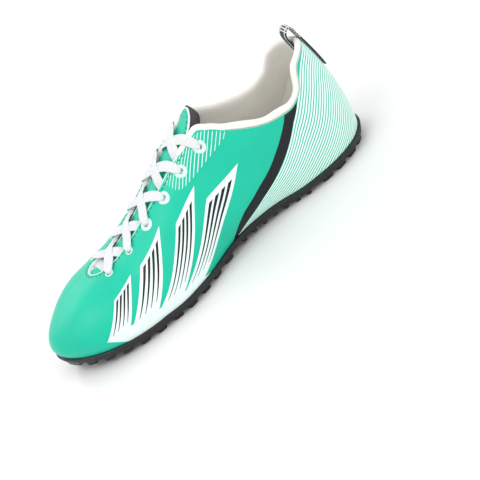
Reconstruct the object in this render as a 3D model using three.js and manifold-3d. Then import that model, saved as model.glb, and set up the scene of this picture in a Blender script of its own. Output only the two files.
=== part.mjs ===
// Low-cut lace-up turf trainer for the right foot, standing empty and level on its studs.
// Millimetres. +X runs from heel to toe, +Y to the inner (medial) side, +Z up, the floor at z = 0.
import * as THREE from "three";
import { mergeVertices } from "three/addons/utils/BufferGeometryUtils.js";
import Module from "manifold-3d";

const wasm = await Module();
wasm.setup();

// Driving sizes of the last
const LENGTH = 280;
const BALL_WIDTH = 98;
const INSTEP_HEIGHT = 86;
const HEEL_HEIGHT = 84;
const TOE_SPRING = 9;
const HEEL_SPRING = 2.4;
const ARCH_LIFT = 2.4;
const TIP_DRIFT = 4;

// Walls, gaps and the sole's own heights
const WALL = 2;
const CLEARANCE = 0.3;
const SOLE_EDGE = 9;
const BAND = 5.2;
const SOLE_MARGIN = 1.9;
const LIP_HEIGHT = 1.3;
const LIP_STEP = 0.9;
const RIM_TURN = 1.6;
const RIM_ROUND = 1.2;
const LIP_SLOPE = 0.5;
const LIP_ROUND = 0.4;
const INSOLE_THICKNESS = 3;
const INSOLE_MARGIN = 0.5;
const INSOLE_ROUND = 1.2;

// Throat, tongue and eyelets
const THROAT_FRONT = 226;
const THROAT_WIDTH_TOP = 28;
const THROAT_WIDTH_FRONT = 20;
const THROAT_ROUND = 12;
const CORNER_FOOT = 93;
const CORNER_TOP = 107;
const CORNER_CLIMB = 0.1;
const EYELETS_PER_SIDE = 6;
const TOP_EYELET = 110.7;
const EYELET_PITCH = 21;
const EYELET_INSET = 6.5;
const EYELET_HOLE = 3.6;
const EYELET_BARREL = 0.4;
const EYELET_FLANGE = 8.4;
const EYELET_RISE = 0.8;
const EYELET_SIDES = 8;
const TONGUE_THICKNESS = 3;
const TONGUE_TOP = 97;
const TONGUE_TUCK = 5;
const TONGUE_GAP = 0.6;
const TONGUE_WIDTH_TOP = 34;
const TONGUE_WIDTH_FRONT = 30;
const TONGUE_TIP_WIDTH = 23;
const TONGUE_ROUND = 15;

// Collar roll, pull loop and lace
const ROLL_RISE = 3.6;
const ROLL_THICKNESS = 4.4;
const LINING_DEPTH = 18;
const LINING_THICKNESS = 2;
const LINING_GAP = 0.5;
const ROLL_SEAT = 0.8;
const ROLL_TAPER = 0.5;
const ROLL_FADE = 20;
const LOOP_WIDTH = 12;
const LOOP_THICKNESS = 1.6;
const LOOP_RISE = 14;
const LOOP_DROP = 27;
const LOOP_REACH = 8;
const LOOP_ROOM = 1.6;
const LOOP_TUCK = 13;
const LOOP_STEPS = 5;
const LACE_WIDTH = 8;
const LACE_THICKNESS = 1.4;
const LACE_OVERHANG = 3.5;
const LACE_LIFT = 1;
const LACE_STACK = 0.7;

// Studs of the outsole
const STUD_TAPER = 0.82;
const STUD_SINK = 1.5;
const EDGE_STUD_DEPTH = 8;
const EDGE_STUD_INSET = 1.2;
const ROUND_STUD = 9;
const ROUND_STUD_SIDES = 6;
const ROUND_STUD_PITCH = 18;
const STUD_ROOM = 2;

// Where the rounded heel and toe ends begin, as shares of the length, and how full they are
const HEEL_CAP = 0.17;
const TOE_CAP = 0.74;
const HEEL_ROUND = 2;
const TOE_ROUND = 1.85;
const HEEL_ANCHOR = 0.13;
const TOE_ANCHOR = 0.915;

// Run of the floor line: share of the length where the heel lifts, and where the arch begins and ends
const HEEL_LIFT_END = 0.06;
const ARCH_START = 0.25;
const ARCH_END = 0.55;
const ARCH_RUN = 0.1;
const SPRING_BEND = 1.7;

// Last sections. at: share of the length; medial, lateral: half widths of the feather line and
// swell_in, swell_out: how far each side swells past it, as shares of the ball width;
// crest: height of the middle line over the feather line as a share of the instep height;
// square: 2 is an ellipse, more is a fuller shoulder.
const SECTIONS = [
  { at: 0.00, medial: 0.335, lateral: 0.335, swell_in: 0.040, swell_out: 0.040, crest: 1.750, square: 2.10 },
  { at: 0.12, medial: 0.335, lateral: 0.335, swell_in: 0.035, swell_out: 0.035, crest: 1.640, square: 2.10 },
  { at: 0.17, medial: 0.335, lateral: 0.335, swell_in: 0.030, swell_out: 0.030, crest: 1.480, square: 2.20 },
  { at: 0.22, medial: 0.330, lateral: 0.343, swell_in: 0.030, swell_out: 0.025, crest: 1.350, square: 2.40 },
  { at: 0.30, medial: 0.290, lateral: 0.359, swell_in: 0.050, swell_out: 0.020, crest: 1.150, square: 3.00 },
  { at: 0.40, medial: 0.276, lateral: 0.388, swell_in: 0.075, swell_out: 0.020, crest: 0.950, square: 2.90 },
  { at: 0.50, medial: 0.325, lateral: 0.429, swell_in: 0.060, swell_out: 0.020, crest: 0.830, square: 2.50 },
  { at: 0.60, medial: 0.435, lateral: 0.474, swell_in: 0.030, swell_out: 0.020, crest: 0.670, square: 2.25 },
  { at: 0.68, medial: 0.483, lateral: 0.503, swell_in: 0.020, swell_out: 0.020, crest: 0.555, square: 2.20 },
  { at: 0.74, medial: 0.470, lateral: 0.508, swell_in: 0.020, swell_out: 0.020, crest: 0.495, square: 2.30 },
  { at: 0.80, medial: 0.470, lateral: 0.508, swell_in: 0.020, swell_out: 0.020, crest: 0.475, square: 2.35 },
  { at: 0.86, medial: 0.470, lateral: 0.508, swell_in: 0.020, swell_out: 0.020, crest: 0.435, square: 2.40 },
  { at: 0.92, medial: 0.470, lateral: 0.508, swell_in: 0.025, swell_out: 0.025, crest: 0.322, square: 2.25 },
  { at: 1.00, medial: 0.470, lateral: 0.508, swell_in: 0.025, swell_out: 0.025, crest: 0.206, square: 2.05 },
];

// Topline of the collar. at: share of the length; height: over the feather line, share of HEEL_HEIGHT
const TOPLINE = [
  { at: 0.00, height: 0.925 },
  { at: 0.03, height: 0.930 },
  { at: 0.07, height: 0.900 },
  { at: 0.11, height: 0.730 },
  { at: 0.16, height: 0.667 },
  { at: 0.21, height: 0.685 },
  { at: 0.27, height: 0.758 },
  { at: 0.33, height: 0.862 },
  { at: 0.38, height: 1.050 },
];

// Edge studs down each side. from, to: shares of the side's run from heel to toe;
// size: stud length along the edge and pitch: distance between stud middles, in millimetres
const EDGE_STUDS = [
  { from: 0.000, to: 0.225, size: 12, pitch: 15.5 },
  { from: 0.245, to: 0.455, size: 4.2, pitch: 9 },
  { from: 0.475, to: 1.000, size: 11, pitch: 14.6 },
];

// Fields of round studs inside the edge studs, as shares of the length
const STUD_FIELDS = [
  { from: 0.10, to: 0.17 },
  { from: 0.56, to: 0.84 },
];

// Free side of the collar roll. inset: from the roll's seat to its full depth; height: share of the
// roll's rise over the collar's edge, or where negative of the lining's depth under it
const ROLL_SECTION = [
  { inset: 0.30, height: 1.00 },
  { inset: 0.72, height: 1.00 },
  { inset: 1.00, height: 0.55 },
  { inset: 1.00, height: -0.15 },
];

// Outline of the pull loop over the collar. reach: share of LOOP_REACH inwards from the edge;
// height: share of LOOP_RISE over it
const LOOP_CURVE = [
  { reach: 0.05, height: 0.45 },
  { reach: 0.20, height: 0.85 },
  { reach: 0.50, height: 1.00 },
  { reach: 1.00, height: 0.90 },
  { reach: 1.22, height: 0.60 },
];

// Grid counts
const HEEL_STEPS = 8;
const QUARTER_STEPS = 6;
const CORNER_STEPS = 5;
const THROAT_STEPS = 9;
const SLOT_STEPS = 5;
const TOE_STEPS = 9;
const UPPER_ROWS = 9;
const TONGUE_ROWS = 11;
const TONGUE_COLUMNS = 6;
const LACE_STEPS = 5;
const FIRST_SEARCH = 0.15;
const SEARCH_STEPS = 48;
const HALVINGS = 24;
const HALF_STEP = 0.5;
const TURN_STEP = 0.01;

// Highest value of rise * (1 - rise) ** 2, over which the swell of the sides is spread
const SWELL_PEAK = 4 / 27;

const SIDES = { medial: 1, lateral: -1 };

function clamp(value, low, high) {
  return Math.min(Math.max(value, low), high);
}

function mix(a, b, t) {
  return a + (b - a) * t;
}

function smooth(t) {
  const s = clamp(t, 0, 1);
  return s * s * (3 - 2 * s);
}

// Smooth value of one named column at a share of the length, without overshoot
function column(rows, name, at) {
  const last = rows.length - 1;
  const where = clamp(at, rows[0].at, rows[last].at);
  const next = clamp(rows.findIndex((row) => row.at > where), 1, last);
  const k = rows[last].at <= where ? last : next;
  const rate = (i) => (rows[i][name] - rows[i - 1][name]) / (rows[i].at - rows[i - 1].at);
  const slope = (i) => {
    if (i === 0) return rate(1);
    if (i === last) return rate(last);
    const before = rate(i);
    const after = rate(i + 1);
    return before * after <= 0 ? 0 : (2 * before * after) / (before + after);
  };
  const span = rows[k].at - rows[k - 1].at;
  const t = (where - rows[k - 1].at) / span;
  const start = rows[k - 1][name] * (1 + 2 * t) * (1 - t) ** 2 + rows[k][name] * t * t * (3 - 2 * t);
  return start + span * t * (1 - t) * (slope(k - 1) * (1 - t) - slope(k) * t);
}

// Lowest line of the studs along the shoe: toe spring, a small lift at the back and the arch
function floorLine(x) {
  const at = x / LENGTH;
  const toe = TOE_SPRING * clamp((at - TOE_CAP) / (1 - TOE_CAP), 0, 1) ** SPRING_BEND;
  const heel = HEEL_SPRING * clamp(1 - at / HEEL_LIFT_END, 0, 1) ** 2;
  const arch = ARCH_LIFT * smooth((at - ARCH_START) / ARCH_RUN) * smooth((ARCH_END - at) / ARCH_RUN);
  return toe + heel + arch;
}

// Height at which the upper meets the sole
function feather(x) {
  return floorLine(x) + SOLE_EDGE;
}

// Middle line of the plan, which drifts to the medial side at the toe
function centre(x) {
  return TIP_DRIFT * smooth((x / LENGTH - TOE_CAP) / (1 - TOE_CAP));
}

function halfWidth(x, side) {
  const at = clamp(x / LENGTH, 0, 1);
  const full = BALL_WIDTH * column(SECTIONS, side, clamp(at, HEEL_CAP, TOE_CAP));
  if (at < HEEL_CAP) return full * (1 - (1 - at / HEEL_CAP) ** HEEL_ROUND) ** (1 / HEEL_ROUND);
  if (at > TOE_CAP) return full * (1 - ((at - TOE_CAP) / (1 - TOE_CAP)) ** TOE_ROUND) ** (1 / TOE_ROUND);
  return full;
}

// Point of the feather line in plan
function feathered(x, side) {
  return new THREE.Vector2(x, centre(x) + SIDES[side] * halfWidth(x, side));
}

// Where the profile that starts at x ends on the middle line: profiles fan out round heel and toe
function crestX(x) {
  const heel = HEEL_CAP * LENGTH;
  const start = HEEL_ANCHOR * LENGTH;
  if (x < heel) return mix(start, heel, x / heel);
  if (x > THROAT_FRONT) {
    return mix(THROAT_FRONT, TOE_ANCHOR * LENGTH, (x - THROAT_FRONT) / (LENGTH - THROAT_FRONT));
  }
  return x;
}

function crest(x) {
  const height = INSTEP_HEIGHT * column(SECTIONS, "crest", x / LENGTH);
  return new THREE.Vector3(x, centre(x), feather(x) + height);
}

// Outer face of the upper before its openings are cut: turn runs from 0 at the sole to 1 at the crest
function skin(x, side, turn) {
  const at = x / LENGTH;
  const power = column(SECTIONS, "square", at);
  const across = Math.cos((turn * Math.PI) / 2);
  const up = Math.sin((turn * Math.PI) / 2);
  const reach = (across ** power + up ** power) ** (-1 / power);
  const rise = up * reach;
  const top = crest(crestX(x));
  const foot = feathered(x, side);
  const out = foot.clone().sub(new THREE.Vector2(top.x, top.y));
  const swell = column(SECTIONS, side === "medial" ? "swell_in" : "swell_out", at) * BALL_WIDTH;
  const width = out.length() * across * reach + (swell * rise * (1 - rise) ** 2) / SWELL_PEAK;
  out.setLength(turn === 1 ? 0 : width);
  return new THREE.Vector3(top.x + out.x, top.y + out.y, mix(feather(x), top.z, rise));
}

// Outward unit normal of that face
function facing(x, side, turn) {
  const along = skin(x + HALF_STEP, side, turn).sub(skin(x - HALF_STEP, side, turn));
  const upward = skin(x, side, Math.min(turn + TURN_STEP, 1)).sub(skin(x, side, turn - TURN_STEP));
  return along.cross(upward).multiplyScalar(-SIDES[side]).normalize();
}

function throatHalf(x) {
  if (x < CORNER_FOOT || x > THROAT_FRONT) return -1;
  const t = (x - CORNER_FOOT) / (THROAT_FRONT - CORNER_FOOT);
  const wide = mix(THROAT_WIDTH_TOP, THROAT_WIDTH_FRONT, t) / 2;
  const round = clamp((x - THROAT_FRONT + THROAT_ROUND) / THROAT_ROUND, 0, 1);
  return wide * Math.sqrt(1 - round * round);
}

// Height of the collar's edge, which climbs steeply to the top corner of the throat
function toplineHeight(x) {
  const edge = feather(x) + HEEL_HEIGHT * column(TOPLINE, "height", x / LENGTH);
  const climb = clamp((x - CORNER_FOOT) / (CORNER_TOP - CORNER_FOOT), 0, 2);
  return edge + INSTEP_HEIGHT * CORNER_CLIMB * climb * climb;
}

// More than zero where the collar or the throat is open
function openness(point) {
  const collar = point.z - toplineHeight(point.x);
  const throat = throatHalf(point.x) - Math.abs(point.y - centre(point.x));
  return Math.max(collar, throat);
}

// Turn at which the profile at x meets the opening, or 1 where it runs to the crest
function lastTurn(x, side) {
  const open = (turn) => openness(skin(x, side, turn)) > 1e-6;
  let low = FIRST_SEARCH;
  let high = low;
  while (high < 1 && !open(high)) {
    low = high;
    high = Math.min(high + 1 / SEARCH_STEPS, 1);
  }
  if (!open(high)) return 1;
  for (let i = 0; i < HALVINGS; i += 1) {
    const middle = (low + high) / 2;
    if (open(middle)) high = middle;
    else low = middle;
  }
  return low;
}

// Turn at which the outer face lies at a distance from the middle line
function turnAt(x, side, distance) {
  let low = 0.3;
  let high = 1;
  for (let i = 0; i < HALVINGS; i += 1) {
    const middle = (low + high) / 2;
    if (Math.abs(skin(x, side, middle).y - centre(x)) > distance) low = middle;
    else high = middle;
  }
  return (low + high) / 2;
}

// Point and normal of the uncut outer face above a place in plan
function faceOver(x, y) {
  const offset = y - centre(x);
  const side = offset >= 0 ? "medial" : "lateral";
  const turn = turnAt(x, side, Math.abs(offset));
  return { point: skin(x, side, turn), normal: facing(x, side, turn) };
}

// Places of the stations along the shoe, closer together where the shape turns
function stationPlaces() {
  const places = [];
  const heel = HEEL_CAP * LENGTH;
  const slot = THROAT_FRONT - THROAT_ROUND;
  const zone = (from, to, steps, bend) => {
    for (let i = 0; i < steps; i += 1) places.push(mix(from, to, bend(i / steps)));
  };
  const even = (t) => t;
  zone(0, heel, HEEL_STEPS, (t) => 1 - Math.cos((t * Math.PI) / 2));
  zone(heel, CORNER_FOOT, QUARTER_STEPS, even);
  zone(CORNER_FOOT, CORNER_TOP, CORNER_STEPS, even);
  zone(CORNER_TOP, slot, THROAT_STEPS, even);
  zone(slot, THROAT_FRONT, SLOT_STEPS, (t) => Math.sin((t * Math.PI) / 2));
  zone(THROAT_FRONT, LENGTH, TOE_STEPS, (t) => Math.sin((t * Math.PI) / 2));
  places.push(LENGTH);
  return places;
}

// Stations round the whole outline: up the medial side to the toe, back down the lateral side
function stationLoop() {
  const places = stationPlaces();
  const inner = places.map((x) => ({ x, side: "medial" }));
  const outer = places.slice(1, -1).reverse().map((x) => ({ x, side: "lateral" }));
  return inner.concat(outer);
}

const LOOP = stationLoop();
const HALF_LOOP = LOOP.length / 2;

function wrap(i) {
  return (i + LOOP.length) % LOOP.length;
}

// Ring of points at the stations, pushed out from the feather line and raised above it
function ring(push, raise) {
  const plan = LOOP.map((station) => feathered(station.x, station.side));
  return LOOP.map((station, i) => {
    const run = plan[wrap(i + 1)].clone().sub(plan[wrap(i - 1)]).normalize();
    const place = plan[i].clone().add(new THREE.Vector2(-run.y, run.x).multiplyScalar(push));
    return new THREE.Vector3(place.x, place.y, feather(station.x) + raise);
  });
}

// Collects triangles and turns them into a solid
class Skin {
  constructor() {
    this.corners = [];
  }

  triangle(a, b, c) {
    this.corners.push(...a.toArray(), ...b.toArray(), ...c.toArray());
  }

  quad(a, b, c, d) {
    this.triangle(a, b, c);
    this.triangle(a, c, d);
  }

  solid() {
    const geometry = new THREE.BufferGeometry();
    geometry.setAttribute("position", new THREE.Float32BufferAttribute(this.corners, 3));
    return solidOf(geometry);
  }
}

// Solid of a closed geometry, once its shared corners are merged
function solidOf(geometry) {
  const bare = geometry.index ? geometry.toNonIndexed() : geometry.clone();
  bare.deleteAttribute("normal");
  bare.deleteAttribute("uv");
  const merged = mergeVertices(bare, 1e-4);
  const index = Array.from(merged.index.array);
  const kept = [];
  for (let i = 0; i < index.length; i += 3) {
    const [a, b, c] = index.slice(i, i + 3);
    if (a !== b && b !== c && c !== a) kept.push(a, b, c);
  }
  return new wasm.Manifold(new wasm.Mesh({
    numProp: 3,
    vertProperties: Float32Array.from(merged.attributes.position.array),
    triVerts: Uint32Array.from(kept),
  }));
}

function geometryOf(solid) {
  const mesh = solid.getMesh();
  const geometry = new THREE.BufferGeometry();
  geometry.setAttribute("position", new THREE.Float32BufferAttribute(mesh.vertProperties, 3));
  geometry.setIndex(Array.from(mesh.triVerts));
  geometry.computeVertexNormals();
  return geometry;
}

// Sheet between two rows of points, faces to the left of the run from a to b
function band(skinned, a, b, closed) {
  const count = closed ? a.length : a.length - 1;
  for (let i = 0; i < count; i += 1) {
    const next = (i + 1) % a.length;
    skinned.quad(a[i], b[i], b[next], a[next]);
  }
}

// Lid across a ring of stations, from the medial side to the lateral side
function lid(skinned, points, upward) {
  for (let i = 0; i < HALF_LOOP; i += 1) {
    const corners = [points[i], points[i + 1], points[wrap(-i - 1)], points[wrap(-i)]];
    if (upward) corners.reverse();
    skinned.quad(...corners);
  }
}

// Solid between stacked rings, lowest first
function stack(rings) {
  const skinned = new Skin();
  for (let i = 1; i < rings.length; i += 1) band(skinned, rings[i - 1], rings[i], true);
  lid(skinned, rings[0], false);
  lid(skinned, rings[rings.length - 1], true);
  return skinned.solid();
}

// Outer points of the upper: one row of points for each station
function upperRows() {
  return LOOP.map(({ x, side }) => {
    const end = lastTurn(x, side);
    return Array.from({ length: UPPER_ROWS + 1 }, (_, j) => skin(x, side, (end * j) / UPPER_ROWS));
  });
}

const OUTER = upperRows();
const ENDS = LOOP.map(({ x, side }) => lastTurn(x, side));

// Outward normal of the upper's grid at station i and row j
function gridNormal(i, j) {
  const here = OUTER[i];
  if (j === UPPER_ROWS && ENDS[i] === 1) {
    const x = here[j].x;
    const slope = crest(x + HALF_STEP).sub(crest(x - HALF_STEP));
    return new THREE.Vector3(-slope.z, 0, slope.x).normalize();
  }
  const along = OUTER[wrap(i + 1)][j].clone().sub(OUTER[wrap(i - 1)][j]);
  const up = here[Math.min(j + 1, UPPER_ROWS)].clone().sub(here[Math.max(j - 1, 0)]);
  const normal = up.cross(along);
  if (j === 0) normal.z = 0;
  return normal.normalize();
}

const NORMALS = OUTER.map((row, i) => row.map((_, j) => gridNormal(i, j)));

// Points at a depth under the upper's outer face
function sunkRows(depth) {
  return OUTER.map((row, i) => row.map((point, j) => point.clone().addScaledVector(NORMALS[i][j], -depth)));
}

// Hollow wall of the upper, open at the collar, the throat and underneath
function upperWall() {
  const inner = sunkRows(WALL);
  const skinned = new Skin();
  for (let i = 0; i < LOOP.length; i += 1) {
    const next = wrap(i + 1);
    for (let j = 0; j < UPPER_ROWS; j += 1) {
      skinned.quad(OUTER[i][j], OUTER[i][j + 1], OUTER[next][j + 1], OUTER[next][j]);
      skinned.quad(inner[i][j], inner[next][j], inner[next][j + 1], inner[i][j + 1]);
    }
    skinned.quad(OUTER[i][0], OUTER[next][0], inner[next][0], inner[i][0]);
    if (ENDS[i] < 1 || ENDS[next] < 1) {
      const top = UPPER_ROWS;
      skinned.quad(OUTER[i][top], inner[i][top], inner[next][top], OUTER[next][top]);
    }
  }
  return skinned.solid();
}

// Places of the eyelets, numbered from the toe
function eyeletPlaces() {
  const places = [];
  for (const side of Object.keys(SIDES)) {
    for (let k = 0; k < EYELETS_PER_SIDE; k += 1) {
      const x = TOP_EYELET + EYELET_PITCH * (EYELETS_PER_SIDE - 1 - k);
      const distance = throatHalf(x) + EYELET_INSET;
      const { point, normal } = faceOver(x, centre(x) + SIDES[side] * distance);
      places.push({ name: `eyelet_${side}_${k + 1}`, side, number: k + 1, point, normal });
    }
  }
  return places;
}

const EYELETS = eyeletPlaces();

// Turns a geometry made round +Y to stand on a surface point
function stand(geometry, point, normal) {
  const turn = new THREE.Quaternion().setFromUnitVectors(new THREE.Vector3(0, 1, 0), normal);
  geometry.applyQuaternion(turn);
  geometry.translate(point.x, point.y, point.z);
  return geometry;
}

function upperSolid() {
  const radius = EYELET_HOLE / 2 + EYELET_BARREL + CLEARANCE;
  return EYELETS.reduce((wall, { point, normal }) => {
    const punch = new THREE.CylinderGeometry(radius, radius, WALL * 4, EYELET_SIDES);
    return wall.subtract(solidOf(stand(punch, point, normal)));
  }, upperWall());
}

// Ring with a barrel through the wall and a flange that lies over it
function eyeletGeometry({ point, normal }) {
  const bore = EYELET_HOLE / 2;
  const barrel = bore + EYELET_BARREL;
  const flange = EYELET_FLANGE / 2;
  const outline = [
    [bore, -WALL], [barrel, -WALL], [barrel, CLEARANCE], [flange, CLEARANCE],
    [flange - EYELET_RISE / 2, CLEARANCE + EYELET_RISE], [bore, CLEARANCE + EYELET_RISE], [bore, -WALL],
  ].map(([r, y]) => new THREE.Vector2(r, y));
  const lathe = new THREE.LatheGeometry(outline, EYELET_SIDES);
  return geometryOf(solidOf(stand(lathe, point, normal)));
}

function outsolePlate() {
  const lip = SOLE_MARGIN - LIP_STEP;
  return stack([
    ring(lip - RIM_TURN, -BAND),
    ring(lip, -BAND + RIM_ROUND),
    ring(lip, -LIP_HEIGHT - CLEARANCE - LIP_SLOPE),
    ring(SOLE_MARGIN, -LIP_HEIGHT - CLEARANCE),
    ring(SOLE_MARGIN, -CLEARANCE - LIP_ROUND),
    ring(SOLE_MARGIN - LIP_ROUND, -CLEARANCE),
  ]);
}

// Tapered block stud with its long side turned to a heading
function blockStud(x, y, heading, size, depth) {
  const top = feather(x) - BAND + STUD_SINK;
  const bottom = floorLine(x);
  const block = new THREE.BoxGeometry(size, depth, top - bottom);
  const corners = block.attributes.position;
  for (let i = 0; i < corners.count; i += 1) {
    if (corners.getZ(i) < 0) {
      corners.setX(i, corners.getX(i) * STUD_TAPER);
      corners.setY(i, corners.getY(i) * STUD_TAPER);
    }
  }
  block.rotateZ(heading);
  block.translate(x, y, (top + bottom) / 2);
  return solidOf(block);
}

function roundStud(x, y) {
  const top = feather(x) - BAND + STUD_SINK;
  const bottom = floorLine(x);
  const radius = ROUND_STUD / 2;
  const stud = new THREE.CylinderGeometry(radius, radius * STUD_TAPER, top - bottom, ROUND_STUD_SIDES);
  stud.rotateX(Math.PI / 2);
  stud.translate(x, y, (top + bottom) / 2);
  return solidOf(stud);
}

// Studs along one side, set just inside the sole's edge
function edgeStuds(side) {
  const line = stationPlaces().map((x) => feathered(x, side));
  const path = new THREE.CurvePath();
  for (let i = 1; i < line.length; i += 1) path.add(new THREE.LineCurve(line[i - 1], line[i]));
  const run = path.getLength();
  const inset = EDGE_STUD_DEPTH / 2 + EDGE_STUD_INSET - SOLE_MARGIN + LIP_STEP;
  return EDGE_STUDS.flatMap(({ from, to, size, pitch }) => {
    const count = Math.max(Math.round(((to - from) * run) / pitch), 1);
    return Array.from({ length: count }, (_, i) => {
      const share = mix(from, to, (i + 0.5) / count);
      const spot = path.getPointAt(share);
      const way = path.getTangentAt(share);
      const inward = new THREE.Vector2(way.y, -way.x).multiplyScalar(SIDES[side] * inset);
      const place = spot.add(inward);
      return blockStud(place.x, place.y, Math.atan2(way.y, way.x), size, EDGE_STUD_DEPTH);
    });
  });
}

// Round studs in rows across the field, clear of the edge studs
function fieldStuds({ from, to }) {
  const studs = [];
  const rows = Math.max(Math.round(((to - from) * LENGTH) / ROUND_STUD_PITCH), 1);
  const keep = EDGE_STUD_DEPTH + ROUND_STUD / 2 + STUD_ROOM;
  for (let row = 0; row <= rows; row += 1) {
    const x = LENGTH * mix(from, to, row / rows);
    const left = centre(x) + halfWidth(x, "medial") - keep;
    const right = centre(x) - halfWidth(x, "lateral") + keep;
    const gaps = Math.max(Math.floor((left - right) / ROUND_STUD_PITCH), 1);
    for (let k = 0; k <= gaps; k += 1) studs.push(roundStud(x, mix(right, left, k / gaps)));
  }
  return studs;
}

function outsoleSolid() {
  const studs = [...edgeStuds("medial"), ...edgeStuds("lateral"), ...STUD_FIELDS.flatMap(fieldStuds)];
  return studs.reduce((sole, stud) => sole.add(stud), outsolePlate());
}

function insoleSolid() {
  const edge = -(WALL + INSOLE_MARGIN);
  return stack([
    ring(edge, 0),
    ring(edge, INSOLE_THICKNESS - INSOLE_ROUND),
    ring(edge - INSOLE_ROUND, INSOLE_THICKNESS),
  ]);
}

// Tongue: a curved sheet under the throat, cut from the upper's own face
function tongueSolid() {
  const front = THROAT_FRONT + TONGUE_TUCK;
  const rows = Array.from({ length: TONGUE_ROWS + 1 }, (_, i) => {
    const t = i / TONGUE_ROWS;
    const x = mix(TONGUE_TOP, front, t);
    const fade = clamp((x - TONGUE_TOP) / TONGUE_ROUND, 0, 1);
    const tip = (TONGUE_WIDTH_TOP - TONGUE_TIP_WIDTH) * (1 - Math.sqrt(fade * (2 - fade)));
    const half = (mix(TONGUE_WIDTH_TOP, TONGUE_WIDTH_FRONT, t) - tip) / 2;
    return Array.from({ length: TONGUE_COLUMNS + 1 }, (_, k) => {
      const share = (2 * k) / TONGUE_COLUMNS - 1;
      return faceOver(x, centre(x) + half * share);
    });
  });
  const sunk = (depth) => rows.map((row) => row.map(({ point, normal }) => {
    return point.clone().addScaledVector(normal, -depth);
  }));
  const top = sunk(WALL + TONGUE_GAP);
  const under = sunk(WALL + TONGUE_GAP + TONGUE_THICKNESS);
  return sheetSolid(top, under);
}

// Solid between two grids of points that face each other
function sheetSolid(top, under) {
  const skinned = new Skin();
  const last = top.length - 1;
  const edge = top[0].length - 1;
  for (let i = 0; i < last; i += 1) {
    for (let k = 0; k < edge; k += 1) {
      skinned.quad(top[i][k], top[i + 1][k], top[i + 1][k + 1], top[i][k + 1]);
      skinned.quad(under[i][k], under[i][k + 1], under[i + 1][k + 1], under[i + 1][k]);
    }
    skinned.quad(top[i][0], under[i][0], under[i + 1][0], top[i + 1][0]);
    skinned.quad(top[i][edge], top[i + 1][edge], under[i + 1][edge], under[i][edge]);
  }
  for (let k = 0; k < edge; k += 1) {
    skinned.quad(top[0][k], top[0][k + 1], under[0][k + 1], under[0][k]);
    skinned.quad(top[last][k], under[last][k], under[last][k + 1], top[last][k + 1]);
  }
  return skinned.solid();
}

// Point of the upper's grid at station i, a distance below its top edge, sunk under the outer face
function below(i, distance, depth) {
  let left = distance;
  let j = UPPER_ROWS;
  while (j > 1 && OUTER[i][j].distanceTo(OUTER[i][j - 1]) < left) {
    left -= OUTER[i][j].distanceTo(OUTER[i][j - 1]);
    j -= 1;
  }
  const t = clamp(left / OUTER[i][j].distanceTo(OUTER[i][j - 1]), 0, 1);
  const point = OUTER[i][j].clone().lerp(OUTER[i][j - 1], t);
  const normal = NORMALS[i][j].clone().lerp(NORMALS[i][j - 1], t).normalize();
  return point.addScaledVector(normal, -depth);
}

// Point past the upper's top edge, along the wall
function above(i, distance, depth) {
  const top = OUTER[i][UPPER_ROWS];
  const way = top.clone().sub(OUTER[i][UPPER_ROWS - 1]).normalize();
  const normal = NORMALS[i][UPPER_ROWS];
  return top.clone().addScaledVector(way, distance).addScaledVector(normal, -depth);
}

// Closed outline of the collar roll at station i
function rollOutline(i) {
  const inside = WALL + LINING_GAP;
  const taper = mix(1, ROLL_TAPER, smooth((LOOP[i].x - CORNER_FOOT + ROLL_FADE) / ROLL_FADE));
  const full = mix(inside + LINING_THICKNESS, ROLL_SEAT + ROLL_THICKNESS, taper);
  const points = [
    below(i, LINING_DEPTH, inside),
    below(i, LINING_DEPTH / 2, inside),
    above(i, LINING_GAP, inside),
    above(i, LINING_GAP, ROLL_SEAT),
    above(i, ROLL_RISE / 2, ROLL_SEAT),
  ];
  for (const { inset, height } of ROLL_SECTION) {
    const depth = mix(ROLL_SEAT, full, inset);
    const free = height < 0 ? below(i, -height * LINING_DEPTH, depth) : above(i, ROLL_RISE * height, depth);
    points.push(free);
  }
  points.push(below(i, LINING_DEPTH / 2, inside + LINING_THICKNESS));
  points.push(below(i, LINING_DEPTH, inside + LINING_THICKNESS));
  return points;
}

// Padded roll and lining that follow the collar's edge from one throat corner to the other
function collarSolid() {
  const corner = LOOP.findIndex(({ x }) => x >= TONGUE_TOP) - 1;
  const stops = [];
  for (let i = -corner; i <= corner; i += 1) stops.push(rollOutline(wrap(i)));
  const skinned = new Skin();
  const count = stops[0].length;
  for (let i = 1; i < stops.length; i += 1) {
    for (let k = 0; k < count; k += 1) {
      const next = (k + 1) % count;
      skinned.quad(stops[i - 1][k], stops[i - 1][next], stops[i][next], stops[i][k]);
    }
  }
  endCap(skinned, stops[0], true);
  endCap(skinned, stops[stops.length - 1], false);
  return skinned.solid();
}

// Flat end of a strip whose outline is folded: strips between its two long sides
function endCap(skinned, outline, flip) {
  const last = outline.length - 1;
  for (let k = 0; k < Math.floor(last / 2); k += 1) {
    const corners = [outline[k], outline[k + 1], outline[last - k - 1], outline[last - k]];
    if (flip) corners.reverse();
    skinned.quad(...corners);
  }
}

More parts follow.
